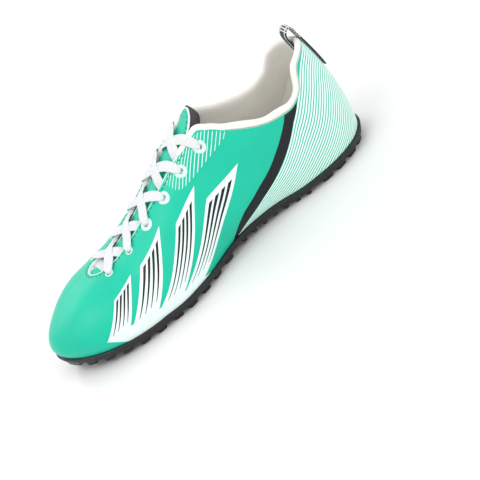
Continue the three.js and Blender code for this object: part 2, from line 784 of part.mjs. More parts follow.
// Webbing loop over the back of the collar, from outside to inside
function loopSolid() {
  const half = LOOP_THICKNESS / 2;
  const top = OUTER[0][UPPER_ROWS];
  const inside = ROLL_SEAT + ROLL_THICKNESS + LOOP_ROOM + half;
  const outer = Array.from({ length: LOOP_STEPS + 1 }, (_, i) => {
    return below(0, mix(LOOP_DROP, 0, i / LOOP_STEPS), -(CLEARANCE + half));
  });
  const crown = LOOP_CURVE.map(({ reach, height }) => {
    return new THREE.Vector3(top.x + LOOP_REACH * reach, 0, top.z + LOOP_RISE * height);
  });
  const path = [...outer, ...crown, below(0, LOOP_THICKNESS, inside), below(0, LOOP_TUCK, inside)];
  const left = [];
  const right = [];
  path.forEach((point, i) => {
    const run = path[Math.min(i + 1, path.length - 1)].clone().sub(path[Math.max(i - 1, 0)]).normalize();
    const across = new THREE.Vector2(-run.z, run.x).multiplyScalar(half);
    left.push(new THREE.Vector2(point.x + across.x, point.z + across.y));
    right.push(new THREE.Vector2(point.x - across.x, point.z - across.y));
  });
  const shape = new THREE.Shape(left.concat(right.reverse()));
  const strap = new THREE.ExtrudeGeometry(shape, { depth: LOOP_WIDTH, bevelEnabled: false });
  strap.rotateX(Math.PI / 2);
  strap.translate(0, centre(0) + LOOP_WIDTH / 2, 0);
  return solidOf(strap);
}

// Flat strip of lace that follows the uncut face from one eyelet to another
function laceStrip(from, to, stacked) {
  const lift = CLEARANCE + EYELET_RISE + LACE_LIFT + LACE_THICKNESS / 2 + stacked * LACE_STACK;
  const a = new THREE.Vector2(from.point.x, from.point.y);
  const b = new THREE.Vector2(to.point.x, to.point.y);
  const run = b.clone().sub(a).normalize();
  a.addScaledVector(run, -LACE_OVERHANG);
  b.addScaledVector(run, LACE_OVERHANG);
  const top = [];
  const under = [];
  for (let i = 0; i <= LACE_STEPS; i += 1) {
    const spot = a.clone().lerp(b, i / LACE_STEPS);
    const { point, normal } = faceOver(spot.x, spot.y);
    const across = new THREE.Vector3(-run.y, run.x, 0).cross(normal).cross(normal).normalize();
    const edge = (side, rise) => point.clone()
      .addScaledVector(across, (side * LACE_WIDTH) / 2)
      .addScaledVector(normal, lift + rise * LACE_THICKNESS / 2);
    top.push([edge(1, 1), edge(-1, 1)]);
    under.push([edge(1, -1), edge(-1, -1)]);
  }
  return sheetSolid(top, under);
}

// Lace: a bar across the lowest pair and the crossings between neighbours, joined
function laceSolid() {
  const at = (side, number) => EYELETS.find((eyelet) => eyelet.side === side && eyelet.number === number);
  let lace = laceStrip(at("medial", 1), at("lateral", 1), 0);
  for (let k = 1; k < EYELETS_PER_SIDE; k += 1) {
    lace = lace.add(laceStrip(at("medial", k), at("lateral", k + 1), 1));
    lace = lace.add(laceStrip(at("medial", k + 1), at("lateral", k), 0));
  }
  return lace;
}

function material(color, roughness, metalness = 0) {
  return new THREE.MeshStandardMaterial({ color, roughness, metalness });
}

const MATERIALS = {
  outsole: () => material("#17181a", 0.75),
  upper: () => material("#35d9b6", 0.42),
  tongue: () => material("#31d3b0", 0.5),
  insole: () => material("#e6e2da", 0.9),
  collar: () => material("#ece7dc", 0.9),
  loop: () => material("#1b1c1f", 0.8),
  lace: () => material("#f6f7f8", 0.85),
  eyelet: () => material("#dfe9e6", 0.4),
};

const shoe = new THREE.Group();

function place(name, geometry, finish) {
  const mesh = new THREE.Mesh(geometry, finish());
  mesh.name = name;
  shoe.add(mesh);
}

place("outsole", geometryOf(outsoleSolid()), MATERIALS.outsole);
place("insole", geometryOf(insoleSolid()), MATERIALS.insole);
place("upper", geometryOf(upperSolid()), MATERIALS.upper);
place("tongue", geometryOf(tongueSolid()), MATERIALS.tongue);
place("collar_lining", geometryOf(collarSolid()), MATERIALS.collar);
place("heel_pull_loop", geometryOf(loopSolid()), MATERIALS.loop);
place("lace", geometryOf(laceSolid()), MATERIALS.lace);
for (const eyelet of EYELETS) place(eyelet.name, eyeletGeometry(eyelet), MATERIALS.eyelet);

// The origin stands on the floor under the middle of the outline
const outline = new THREE.Box3().setFromObject(shoe);
const middle = outline.getCenter(new THREE.Vector3());
for (const mesh of shoe.children) mesh.position.set(-middle.x, -middle.y, -outline.min.z);

export default shoe;
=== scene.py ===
import math

import bmesh
import bpy
import numpy as np
from mathutils import Matrix

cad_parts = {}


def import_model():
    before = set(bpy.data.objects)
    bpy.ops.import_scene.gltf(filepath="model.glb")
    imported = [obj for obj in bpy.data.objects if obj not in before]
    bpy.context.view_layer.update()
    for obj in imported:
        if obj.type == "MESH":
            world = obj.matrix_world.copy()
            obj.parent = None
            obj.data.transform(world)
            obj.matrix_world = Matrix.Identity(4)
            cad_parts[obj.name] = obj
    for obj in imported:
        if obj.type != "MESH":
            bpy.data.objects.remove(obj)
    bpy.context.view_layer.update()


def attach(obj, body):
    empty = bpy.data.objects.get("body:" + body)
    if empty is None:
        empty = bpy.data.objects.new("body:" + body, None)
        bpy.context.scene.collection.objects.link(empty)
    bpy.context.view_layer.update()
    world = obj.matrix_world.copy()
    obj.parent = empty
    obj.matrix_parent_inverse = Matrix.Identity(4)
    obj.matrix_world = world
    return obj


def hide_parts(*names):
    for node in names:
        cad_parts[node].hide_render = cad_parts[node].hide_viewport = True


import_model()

# Places below are in millimetres with x = 0 at the heel and y = 0 on the shoe's axis
# SHIFT takes them to the frame of the CAD model
SHIFT = np.array([-139.187, 1.1975, 0.0])
MM, SAME_PLACE = 0.001, 0.004

LENGTH, BALL_WIDTH, INSTEP_HEIGHT, HEEL_HEIGHT = 280.0, 98.0, 86.0, 84.0
TOE_SPRING, HEEL_SPRING, ARCH_LIFT, TIP_DRIFT = 9.0, 2.4, 2.4, 4.0
SOLE_EDGE = 9.0
HEEL_CAP, TOE_CAP, HEEL_ROUND, TOE_ROUND = 0.17, 0.74, 2.0, 1.85
HEEL_ANCHOR, TOE_ANCHOR = 0.13, 0.915
THROAT_FRONT, THROAT_WIDTH_TOP, THROAT_WIDTH_FRONT, THROAT_ROUND = 226.0, 28.0, 20.0, 12.0
CORNER_FOOT, CORNER_TOP, CORNER_CLIMB = 93.0, 107.0, 0.1
CORNER_BLEND, CORNER_ONSET, CORNER_FADE, CORNER_END = 20.0, 8.0, 112.0, 128.0
MEDIAL, LATERAL = 1.0, -1.0
SIDES = (MEDIAL, LATERAL)

SECTION_NAMES = ("at", "medial", "lateral", "swell_in", "swell_out", "crest", "square")
SECTION_ROWS = (
    (0.00, 0.335, 0.335, 0.040, 0.040, 1.750, 2.10),
    (0.12, 0.335, 0.335, 0.035, 0.035, 1.640, 2.10),
    (0.17, 0.335, 0.335, 0.030, 0.030, 1.480, 2.20),
    (0.22, 0.330, 0.343, 0.030, 0.025, 1.350, 2.40),
    (0.30, 0.290, 0.359, 0.050, 0.020, 1.150, 3.00),
    (0.40, 0.276, 0.388, 0.075, 0.020, 0.950, 2.90),
    (0.50, 0.325, 0.429, 0.060, 0.020, 0.830, 2.50),
    (0.60, 0.435, 0.474, 0.030, 0.020, 0.670, 2.25),
    (0.68, 0.483, 0.503, 0.020, 0.020, 0.555, 2.20),
    (0.74, 0.470, 0.508, 0.020, 0.020, 0.495, 2.30),
    (0.80, 0.470, 0.508, 0.020, 0.020, 0.475, 2.35),
    (0.86, 0.470, 0.508, 0.020, 0.020, 0.435, 2.40),
    (0.92, 0.470, 0.508, 0.025, 0.025, 0.322, 2.25),
    (1.00, 0.470, 0.508, 0.025, 0.025, 0.206, 2.05),
)
SECTIONS = {n: np.array([r[i] for r in SECTION_ROWS]) for i, n in enumerate(SECTION_NAMES)}
TOPLINE = {
    "at": np.array([0.00, 0.03, 0.07, 0.11, 0.16, 0.21, 0.27, 0.33, 0.38]),
    "height": np.array([0.925, 0.930, 0.900, 0.730, 0.667, 0.685, 0.758, 0.862, 1.050]),
}


def column(table, name, at):
    rows, values = table["at"], table[name]
    at = np.clip(at, rows[0], rows[-1])
    rate = np.diff(values) / np.diff(rows)
    slope = np.empty(len(values))
    slope[0], slope[-1] = rate[0], rate[-1]
    both = rate[:-1] * rate[1:]
    total = np.where(rate[:-1] + rate[1:] == 0, 1.0, rate[:-1] + rate[1:])
    slope[1:-1] = np.where(both <= 0, 0.0, 2 * both / total)
    k = np.clip(np.searchsorted(rows, at, side="right"), 1, len(rows) - 1)
    span = rows[k] - rows[k - 1]
    t = (at - rows[k - 1]) / span
    start = values[k - 1] * (1 + 2 * t) * (1 - t) ** 2 + values[k] * t * t * (3 - 2 * t)
    return start + span * t * (1 - t) * (slope[k - 1] * (1 - t) - slope[k] * t)


def smooth(t):
    s = np.clip(t, 0, 1)
    return s * s * (3 - 2 * s)


def mix(a, b, t):
    return a + (b - a) * t


def unit(v):
    return v / np.maximum(np.linalg.norm(v, axis=-1, keepdims=True), 1e-9)


def travelled(path):
    """Distance from the first of a row of points to each of them."""
    steps = np.linalg.norm(np.diff(path, axis=0), axis=1)
    return np.concatenate([[0.0], np.cumsum(steps)])


def knot(p0, p1, p2, p3, t):
    """Smooth curve through four points, at a share t of the way from p1 to p2."""
    return 0.5 * (2 * p1 + (p2 - p0) * t + (2 * p0 - 5 * p1 + 4 * p2 - p3) * t * t
                  + (3 * p1 - p0 - 3 * p2 + p3) * t ** 3)


def floor_line(x):
    at = x / LENGTH
    toe = TOE_SPRING * np.clip((at - TOE_CAP) / (1 - TOE_CAP), 0, 1) ** 1.7
    heel = HEEL_SPRING * np.clip(1 - at / 0.06, 0, 1) ** 2
    return toe + heel + ARCH_LIFT * smooth((at - 0.25) / 0.1) * smooth((0.55 - at) / 0.1)


def feather(x):
    return floor_line(x) + SOLE_EDGE


def centre(x):
    return TIP_DRIFT * smooth((x / LENGTH - TOE_CAP) / (1 - TOE_CAP))


def half_width(x, side):
    at = np.clip(x / LENGTH, 0, 1)
    inner = np.clip(at, HEEL_CAP, TOE_CAP)
    full = np.where(side > 0, column(SECTIONS, "medial", inner), column(SECTIONS, "lateral", inner))
    heel = (1 - np.clip(1 - at / HEEL_CAP, 0, 1) ** HEEL_ROUND) ** (1 / HEEL_ROUND)
    toe = (1 - np.clip((at - TOE_CAP) / (1 - TOE_CAP), 0, 1) ** TOE_ROUND) ** (1 / TOE_ROUND)
    return BALL_WIDTH * full * heel * toe


def rim_y(x, side):
    """Where the sole's edge lies across the shoe."""
    return centre(x) + side * half_width(x, side)


def crest_x(x):
    heel = HEEL_CAP * LENGTH
    front = (x - THROAT_FRONT) / (LENGTH - THROAT_FRONT)
    return np.where(x < heel, mix(HEEL_ANCHOR * LENGTH, heel, x / heel),
                    np.where(x > THROAT_FRONT, mix(THROAT_FRONT, TOE_ANCHOR * LENGTH, front), x))


def skin(x, side, turn):
    x, side, turn = np.broadcast_arrays(*(np.asarray(v, float) for v in (x, side, turn)))
    at = x / LENGTH
    power = column(SECTIONS, "square", at)
    across = np.maximum(np.cos(turn * np.pi / 2), 0.0)
    up = np.maximum(np.sin(turn * np.pi / 2), 0.0)
    reach = (across ** power + up ** power) ** (-1 / power)
    rise = up * reach
    cx = crest_x(x)
    cy = centre(cx)
    cz = feather(cx) + INSTEP_HEIGHT * column(SECTIONS, "crest", cx / LENGTH)
    ox = x - cx
    oy = rim_y(x, side) - cy
    out = np.hypot(ox, oy) + 1e-9
    swell_in, swell_out = column(SECTIONS, "swell_in", at), column(SECTIONS, "swell_out", at)
    swell = BALL_WIDTH * np.where(side > 0, swell_in, swell_out)
    width = out * across * reach + swell * 6.75 * rise * (1 - rise) ** 2
    return np.stack([cx + ox / out * width, cy + oy / out * width, mix(feather(x), cz, rise)], -1)


def throat_half(x):
    t = (x - CORNER_FOOT) / (THROAT_FRONT - CORNER_FOOT)
    wide = mix(THROAT_WIDTH_TOP, THROAT_WIDTH_FRONT, t) / 2
    rounded = np.clip((x - THROAT_FRONT + THROAT_ROUND) / THROAT_ROUND, 0, 1)
    inside = (x >= CORNER_FOOT) & (x <= THROAT_FRONT)
    return np.where(inside, wide * np.sqrt(1 - rounded * rounded), -1.0)


def topline_height(x):
    edge = feather(x) + HEEL_HEIGHT * column(TOPLINE, "height", x / LENGTH)
    climb = np.clip((x - CORNER_FOOT) / (CORNER_TOP - CORNER_FOOT), 0, 2)
    return edge + INSTEP_HEIGHT * CORNER_CLIMB * climb * climb


def openness(p):
    """Above zero inside the collar and throat openings, whose corner is rounded."""
    collar = p[..., 2] - topline_height(p[..., 0])
    throat = throat_half(p[..., 0]) - np.abs(p[..., 1] - centre(p[..., 0]))
    near = smooth((p[..., 0] - CORNER_FOOT) / CORNER_ONSET)
    near = near * (1 - smooth((p[..., 0] - CORNER_FADE) / (CORNER_END - CORNER_FADE)))
    blend = np.clip(1 - np.abs(collar - throat) / CORNER_BLEND, 0, 1)
    return np.maximum(collar, throat) + near * CORNER_BLEND / 4 * blend ** 2


def find_last_turn(x, side):
    x, side = np.broadcast_arrays(np.asarray(x, float), np.asarray(side, float))
    tries = np.linspace(0.15, 1.0, 52)
    opened = np.stack([openness(skin(x, side, t)) > 1e-6 for t in tries])
    any_open = opened.any(0)
    first = np.clip(opened.argmax(0), 1, None)
    low, high = tries[first - 1], tries[first]
    for _ in range(24):
        middle = (low + high) / 2
        hit = openness(skin(x, side, middle)) > 1e-6
        high = np.where(hit, middle, high)
        low = np.where(hit, low, middle)
    return np.where(any_open, low, 1.0)


# Places on the last
PLAN_X = 140.0 * (1 - np.cos(np.linspace(0, np.pi, 2401)))
EDGE_X = np.unique(np.concatenate([np.linspace(0, LENGTH, 1401), np.linspace(88, 122, 400),
                                   np.linspace(213, THROAT_FRONT, 400), [THROAT_FRONT + 1e-6]]))
EDGE_TURN = {side: find_last_turn(EDGE_X, side) for side in SIDES}


def last_turn(x, side):
    return np.where(np.asarray(side) > 0, np.interp(x, EDGE_X, EDGE_TURN[MEDIAL]),
                    np.interp(x, EDGE_X, EDGE_TURN[LATERAL]))


def plan_lengths(side):
    return travelled(np.stack([PLAN_X, rim_y(PLAN_X, side)], -1))


LENGTH_IN, LENGTH_OUT = plan_lengths(MEDIAL), plan_lengths(LATERAL)
AROUND = LENGTH_IN[-1] + LENGTH_OUT[-1]


def along(x, side):
    """Distance round the feather line from the heel: up the medial side, back down the lateral one."""
    inner = np.interp(x, PLAN_X, LENGTH_IN)
    outer = np.interp(x, PLAN_X, LENGTH_OUT)
    return np.where(np.asarray(side) > 0, inner, AROUND - outer)


def station(s):
    """x and side at a distance round the feather line."""
    s = np.mod(np.asarray(s, float), AROUND)
    inner = s <= LENGTH_IN[-1]
    x = np.where(inner, np.interp(s, LENGTH_IN, PLAN_X), np.interp(AROUND - s, LENGTH_OUT, PLAN_X))
    return x, np.where(inner, MEDIAL, LATERAL)


def bare(s, turn):
    x, side = station(s)
    return skin(x, side, turn)


def slope(s, turn):
    """Unit normal of the last from steps ds along and dt up its face."""
    ds, dt = 0.25, 0.004
    run = bare(s + ds, turn) - bare(s - ds, turn)
    high = np.minimum(turn + dt, 1.0)
    climb = bare(s, high) - bare(s, high - 2 * dt)
    return unit(np.cross(climb, run))


def outward(s, turn):
    """Unit normal of the last at (s, turn), the same from both sides on the crest."""
    s, turn = np.broadcast_arrays(np.asarray(s, float), np.asarray(turn, float))
    normal = slope(s, turn)
    if np.any(turn >= 1):
        x, side = station(s)
        other = slope(along(x, -side), turn)
        normal = np.where((turn >= 1)[..., None], unit(normal + other), normal)
    return normal


# Creases and dimples of the upper: x, turn at both ends, depth and half width in mm
CREASES = (
    (228.0, 0.80, 214.0, 0.42, 0.45, 4.0),
    (236.0, 0.86, 226.0, 0.50, 0.35, 5.0),
    (206.0, 0.66, 196.0, 0.22, 0.40, 5.5),
    (180.0, 0.62, 170.0, 0.25, 0.35, 6.0),
    (150.0, 0.55, 128.0, 0.20, 0.45, 7.0),
    (112.0, 0.45, 92.0, 0.12, 0.45, 8.0),
    (60.0, 0.30, 40.0, 0.12, 0.30, 9.0),
)


def relief(points):
    """How far the upper's face is pushed in at points, in mm."""
    depth = np.zeros(points.shape[:-1])
    steps = 24
    for x0, t0, x1, t1, deep, wide in CREASES:
        for side in SIDES:
            line = skin(np.linspace(x0, x1, steps), side, np.linspace(t0, t1, steps))
            near = np.full(points.shape[:-1], 1e9)
            fade = np.zeros(points.shape[:-1])
            for k in range(steps):
                d = ((points - line[k]) ** 2).sum(-1)
                hit = d < near
                near = np.where(hit, d, near)
                fade = np.where(hit, math.sin(math.pi * (k + 0.5) / steps), fade)
            depth += deep * fade * np.exp(-near / wide ** 2)
    return depth


def lifted(s, turn, lift):
    """Points of the finished outer face, lifted along its normal."""
    p = bare(s, turn)
    return p + outward(s, turn) * (np.asarray(lift) - relief(p))[..., None]


def over(x, y):
    """Height of the uncut face above places in plan, between the heel and toe caps."""
    x, y = np.broadcast_arrays(np.asarray(x, float), np.asarray(y, float))
    offset = y - centre(x)
    side = np.where(offset >= 0, MEDIAL, LATERAL)
    low, high = np.full(x.shape, 0.3), np.ones(x.shape)
    for _ in range(17):
        middle = (low + high) / 2
        wide = np.abs(skin(x, side, middle)[..., 1] - centre(x)) > np.abs(offset)
        low, high = np.where(wide, middle, low), np.where(wide, high, middle)
    return skin(x, side, (low + high) / 2)[..., 2]


def face(x, y):
    """Point and unit normal of the uncut face above places in plan."""
    x, y = np.broadcast_arrays(np.asarray(x, float), np.asarray(y, float))
    d = 0.6
    z = over(x, y)
    normal = np.stack([(over(x - d, y) - over(x + d, y)) / (2 * d),
                       (over(x, y - d) - over(x, y + d)) / (2 * d), np.ones(x.shape)], -1)
    return np.stack([x, y, z], -1), unit(normal)


# Mesh making
def quads(n, m, base=0, wrap_n=False, wrap_m=False):
    """Four-sided faces of an n by m grid of points that starts at base."""
    i = np.arange(n if wrap_n else n - 1)
    j = np.arange(m if wrap_m else m - 1)
    a, b = np.meshgrid(i, j, indexing="ij")
    a2, b2 = (a + 1) % n, (b + 1) % m
    q = np.stack([a * m + b, a2 * m + b, a2 * m + b2, a * m + b2], -1).reshape(-1, 4)
    return (q + base).tolist()


class Form:
    """Collects points, faces, material marks and flat coordinates of one piece."""

    def __init__(self):
        self.points, self.faces, self.marks, self.flat = [], [], [], []
        self.count = 0

    def add(self, points, faces, marks=None, flat=None):
        points = np.asarray(points, float).reshape(-1, 3)
        self.points.append(points)
        self.flat.append(np.zeros((len(points), 2)) if flat is None else flat.reshape(-1, 2))
        self.faces += [[v + self.count for v in f] for f in faces]
        self.marks += marks or [0] * len(faces)
        self.count += len(points)
        return self

    def sheet(self, top, under, marks=(0, 0, 0), flat=None, wrap=False, shut=None):
        """Closed solid between two grids of points; wrap joins the last row to the first,
        shut tells between which rows the far edge is closed by its mirror half."""
        n, m = top.shape[:2]
        size = n * m
        upper = quads(n, m, 0, wrap)
        lower = [f[::-1] for f in quads(n, m, size, wrap)]
        rows = n if wrap else n - 1
        rim = []
        for i in range(rows):
            k = (i + 1) % n
            rim.append([i * m, k * m, k * m + size, i * m + size][::-1])
            if shut is None or not shut[i]:
                rim.append([i * m + m - 1, k * m + m - 1, k * m + m - 1 + size, i * m + m - 1 + size])
        if not wrap:
            for j in range(m - 1):
                rim.append([j, j + 1, j + 1 + size, j + size])
                e = (n - 1) * m
                rim.append([e + j, e + j + 1, e + j + 1 + size, e + j + size][::-1])
        points = np.concatenate([top.reshape(-1, 3), under.reshape(-1, 3)])
        marks = [marks[0]] * len(upper) + [marks[1]] * len(lower) + [marks[2]] * len(rim)
        flat = None if flat is None else np.concatenate([flat.reshape(-1, 2)] * 2)
        return self.add(points, upper + lower + rim, marks, flat)

    def tube(self, rings, flat=None):
        """Closed sections (n, k, 3) joined in a row, with end caps."""
        n, k = rings.shape[:2]
        caps = [list(range(k))[::-1], [(n - 1) * k + j for j in range(k)]]
        return self.add(rings, quads(n, k, 0, False, True) + caps, None, flat)


def closed_mesh(name, form):
    """Mesh of a form in the CAD model's frame, in metres."""
    mesh = bpy.data.meshes.new(name)
    points = (np.concatenate(form.points) + SHIFT) * MM
    mesh.from_pydata(points.tolist(), [], form.faces)
    return mesh


def straighten(mesh):
    """Joins points that share a place and turns all faces outwards."""
    work = bmesh.new()
    work.from_mesh(mesh)
    bmesh.ops.remove_doubles(work, verts=work.verts, dist=SAME_PLACE * MM)
    bmesh.ops.recalc_face_normals(work, faces=work.faces)
    work.to_mesh(mesh)
    work.free()


def placed(name, data):
    """New object in the scene."""
    obj = bpy.data.objects.new(name, data)
    bpy.context.scene.collection.objects.link(obj)
    return obj


def piece(name, form, materials, replaced=(), angle=40.0):
    """Object with the CAD nodes it replaces hidden; edges above the angle stay sharp."""
    mesh = closed_mesh(name, form)
    flat = np.concatenate(form.flat)
    layer = mesh.uv_layers.new(name="flat")
    loops = np.empty(len(mesh.loops), int)
    mesh.loops.foreach_get("vertex_index", loops)
    layer.data.foreach_set("uv", flat[loops].astype(np.float32).ravel())
    mesh.polygons.foreach_set("material_index", form.marks)
    for material in materials:
        mesh.materials.append(material)
    straighten(mesh)
    mesh.shade_smooth()
    mesh.set_sharp_from_angle(angle=math.radians(angle))
    obj = placed(name, mesh)
    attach(obj, "root")
    if replaced:
        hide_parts(*replaced)
    return obj


# Materials
class Paint:
    """A Principled material with small helpers to wire its nodes."""

    def __init__(self, name, colour, roughness, **sockets):
        self.material = bpy.data.materials.new(name)
        self.material.use_nodes = True
        self.tree = self.material.node_tree
        self.shader = self.tree.nodes["Principled BSDF"]
        self.shader.inputs["Base Color"].default_value = (*colour, 1)
        self.shader.inputs["Roughness"].default_value = roughness
        for key, value in sockets.items():
            self.shader.inputs[key.replace("_", " ")].default_value = value
        self.place = self.node("ShaderNodeTexCoord")
        self.bumped = None

    def node(self, kind, **values):
        made = self.tree.nodes.new(kind)
        for key, value in values.items():
            if key in made.inputs:
                made.inputs[key].default_value = value
            else:
                setattr(made, key, value)
        return made

    def link(self, a, b):
        self.tree.links.new(a, b)

    def noise(self, scale, detail=3.0, roughness=0.5):
        made = self.node("ShaderNodeTexNoise", Scale=scale, Detail=detail, Roughness=roughness)
        self.link(self.place.outputs["Object"], made.inputs["Vector"])
        return made.outputs["Fac"]

    def cells(self, scale):
        made = self.node("ShaderNodeTexVoronoi", Scale=scale)
        self.link(self.place.outputs["Object"], made.inputs["Vector"])
        return made.outputs["Distance"]

    def remap(self, value, low, high, to_low, to_high):
        made = self.node("ShaderNodeMapRange")
        for key, number in (("From Min", low), ("From Max", high), ("To Min", to_low), ("To Max", to_high)):
            made.inputs[key].default_value = number
        self.link(value, made.inputs["Value"])
        return made.outputs["Result"]

    def maths(self, operation, a, b=0.0):
        made = self.node("ShaderNodeMath", operation=operation)
        for socket, value in zip(made.inputs, (a, b)):
            if isinstance(value, (int, float)):
                socket.default_value = value
            else:
                self.link(value, socket)
        return made.outputs[0]

    def tint(self, value, other):
        """Base colour that goes from the material's colour to another by a value."""
        made = self.node("ShaderNodeMix", data_type="RGBA")
        share, first, second = (made.inputs[k] for k in (0, 6, 7))
        base = self.shader.inputs["Base Color"]
        first.default_value = base.default_value
        second.default_value = (*other, 1)
        if base.is_linked:
            self.link(base.links[0].from_socket, first)
        self.link(value, share)
        self.link(made.outputs[2], base)

    def bump(self, height, distance, strength=1.0):
        made = self.node("ShaderNodeBump", Strength=strength, Distance=distance)
        self.link(height, made.inputs["Height"])
        if self.bumped is not None:
            self.link(self.bumped, made.inputs["Normal"])
        self.bumped = made.outputs["Normal"]
        self.link(self.bumped, self.shader.inputs["Normal"])

    def rough(self, value):
        self.link(value, self.shader.inputs["Roughness"])


def leather(name, colour, shade, roughness=0.36):
    paint = Paint(name, colour, roughness, Specular_IOR_Level=0.30, Coat_Weight=0.06, Coat_Roughness=0.35)
    paint.tint(paint.remap(paint.noise(26.0, 2.0), 0.42, 0.66, 0.0, 0.55), shade)
    paint.bump(paint.cells(900.0), 0.00006)
    paint.bump(paint.noise(260.0, 3.0), 0.00012, 0.5)
    paint.rough(paint.remap(paint.noise(140.0, 4.0), 0.3, 0.7, roughness - 0.05, roughness + 0.08))
    return paint.material


def ink(name, colour, roughness=0.42):
    paint = Paint(name, colour, roughness, Specular_IOR_Level=0.3)
    paint.tint(paint.remap(paint.noise(90.0, 3.0), 0.4, 0.7, 0.0, 0.25), tuple(c * 0.86 for c in colour))
    paint.bump(paint.cells(900.0), 0.00005)
    return paint.material


def suede(name, colour, shade):
    paint = Paint(name, colour, 0.95, Sheen_Weight=0.35, Sheen_Roughness=0.5)
    paint.tint(paint.remap(paint.noise(420.0, 6.0, 0.7), 0.35, 0.7, 0.0, 0.8), shade)
    paint.tint(paint.remap(paint.noise(45.0, 3.0), 0.45, 0.7, 0.0, 0.35), tuple(c * 0.9 for c in shade))
    paint.bump(paint.noise(1500.0, 6.0, 0.7), 0.0004, 0.7)
    return paint.material


def weave(name, colour, shade, pitch_u, pitch_v, depth=0.0003, roughness=0.85):
    """Plain weave by the piece's own flat coordinates, in mm, with painted shade in its low spots."""
    paint = Paint(name, colour, roughness, Sheen_Weight=0.15)
    split = paint.node("ShaderNodeSeparateXYZ")
    paint.link(paint.place.outputs["UV"], split.inputs[0])
    u = paint.maths("SINE", paint.maths("MULTIPLY", split.outputs[0], 2 * math.pi / pitch_u))
    v = paint.maths("SINE", paint.maths("MULTIPLY", split.outputs[1], 2 * math.pi / pitch_v))
    both = paint.maths("MULTIPLY", u, v)
    # Painted shade: where the weave lies low, the colour goes up to 0.6 of the way to the shade colour
    paint.tint(paint.remap(both, -1.0, 0.4, 0.6, 0.0), shade)
    paint.bump(both, depth, 0.8)
    paint.bump(paint.noise(2500.0, 3.0), 0.0001, 0.5)
    return paint.material


def rubber(name, colour, roughness=0.34):
    paint = Paint(name, colour, roughness, Specular_IOR_Level=0.5)
    worn = tuple(c * 1.7 + 0.004 for c in colour)
    paint.tint(paint.remap(paint.noise(60.0, 4.0), 0.4, 0.7, 0.0, 0.5), worn)
    paint.bump(paint.noise(1800.0, 4.0), 0.0001, 0.5)
    paint.rough(paint.remap(paint.noise(220.0, 4.0), 0.3, 0.7, roughness - 0.1, roughness + 0.15))
    return paint.material


TEAL = (0.005, 0.545, 0.362)
TEAL_DARK = (0.004, 0.480, 0.320)
MINT = (0.835, 0.965, 0.93)
CHARCOAL = (0.007, 0.009, 0.012)
CREAM = (0.905, 0.885, 0.825)
CREAM_DARK = (0.87, 0.85, 0.78)
WHITE = (0.96, 0.97, 0.98)
RUBBER = (0.005, 0.005, 0.006)

upper_leather = leather("upper_leather", TEAL, TEAL_DARK)
tongue_leather = leather("tongue_leather", TEAL, TEAL_DARK, 0.42)
cut_edge = ink("cut_edge", (0.88, 0.95, 0.93), 0.7)
mint_ink = ink("mint_ink", MINT)
black_ink = ink("black_ink", CHARCOAL, 0.38)
lining_suede = suede("lining_suede", CREAM, CREAM_DARK)
# In each weave below, the second colour is the painted shade of the weave's low spots
charcoal_mesh = weave("charcoal_mesh", (0.035, 0.035, 0.042), (0.006, 0.006, 0.008), 1.1, 1.1, 0.0004, 0.9)
insole_cloth = weave("insole_cloth", (0.72, 0.70, 0.66), (0.52, 0.50, 0.46), 1.2, 1.2, 0.0002, 0.95)
lace_weave = weave("lace_weave", WHITE, (0.66, 0.70, 0.76), 1.3, 1.5, 0.00035, 0.8)
sole_rubber = rubber("sole_rubber", RUBBER)
thread = weave("thread", (0.006, 0.20, 0.16), (0.003, 0.10, 0.08), 0.4, 0.4, 0.0001, 0.7)
ring_plastic = ink("ring_plastic", (0.66, 0.88, 0.82), 0.3)


# Upper: outer shell and the lining of its wall
def spread_x(heel, quarter, corner, slot, front, toe):
    """Stations from heel to toe, closer together at the ends and at the corner of the throat."""
    def part(a, b, n):
        return np.linspace(a, b, n, endpoint=False)

    turnup = THROAT_FRONT - THROAT_ROUND
    return np.concatenate([
        HEEL_CAP * LENGTH * (1 - np.cos(part(0, np.pi / 2, heel))),
        part(HEEL_CAP * LENGTH, CORNER_FOOT, quarter), part(CORNER_FOOT, CORNER_TOP, corner),
        part(CORNER_TOP, turnup, slot),
        turnup + THROAT_ROUND * np.sin(part(0, np.pi / 2, front)),
        THROAT_FRONT + (LENGTH - THROAT_FRONT) * np.sin(np.linspace(0, np.pi / 2, toe)),
    ])


def loop_stations(x):
    """Distance, x and side of stations up the medial side and back down the lateral one."""
    s = np.concatenate([along(x, MEDIAL), along(x[1:-1][::-1], LATERAL)])
    return s, np.concatenate([x, x[1:-1][::-1]]), station(s)[1]


def wall(x, rows, outer, inner, marks=(0, 0, 0)):
    """Wall of the upper between two depths under its face, inner as a function of x and share."""
    s, px, side = loop_stations(x)
    end = last_turn(px, side)
    share = np.linspace(0, 1, rows)[None, :]
    turn = end[:, None] * share
    top = lifted(s[:, None], turn, -outer)
    under = lifted(s[:, None], turn, -inner(px[:, None], share))
    return Form().sheet(top, under, marks, wrap=True, shut=(end == 1) & (np.roll(end, -1) == 1))


EYELETS = 6
TOP_EYELET, EYELET_PITCH, EYELET_INSET = 110.7, 21.0, 6.5
EYELET_HOLE = 2.1


def eyelet_place(side, number):
    x = TOP_EYELET + EYELET_PITCH * (EYELETS - number)
    y = centre(x) + side * (throat_half(x) + EYELET_INSET)
    return float(x), float(y)


def circle(count):
    """Cosines and sines of evenly spaced turns."""
    a = np.linspace(0, 2 * np.pi, count, endpoint=False)
    return np.cos(a), np.sin(a)


def hoop(p, n, radius, count):
    """Circle round a point, square to the direction n."""
    c, s = circle(count)
    u = unit(np.cross(n, [0, 1, 0]))
    return p + radius * (c[:, None] * u + s[:, None] * np.cross(n, u))


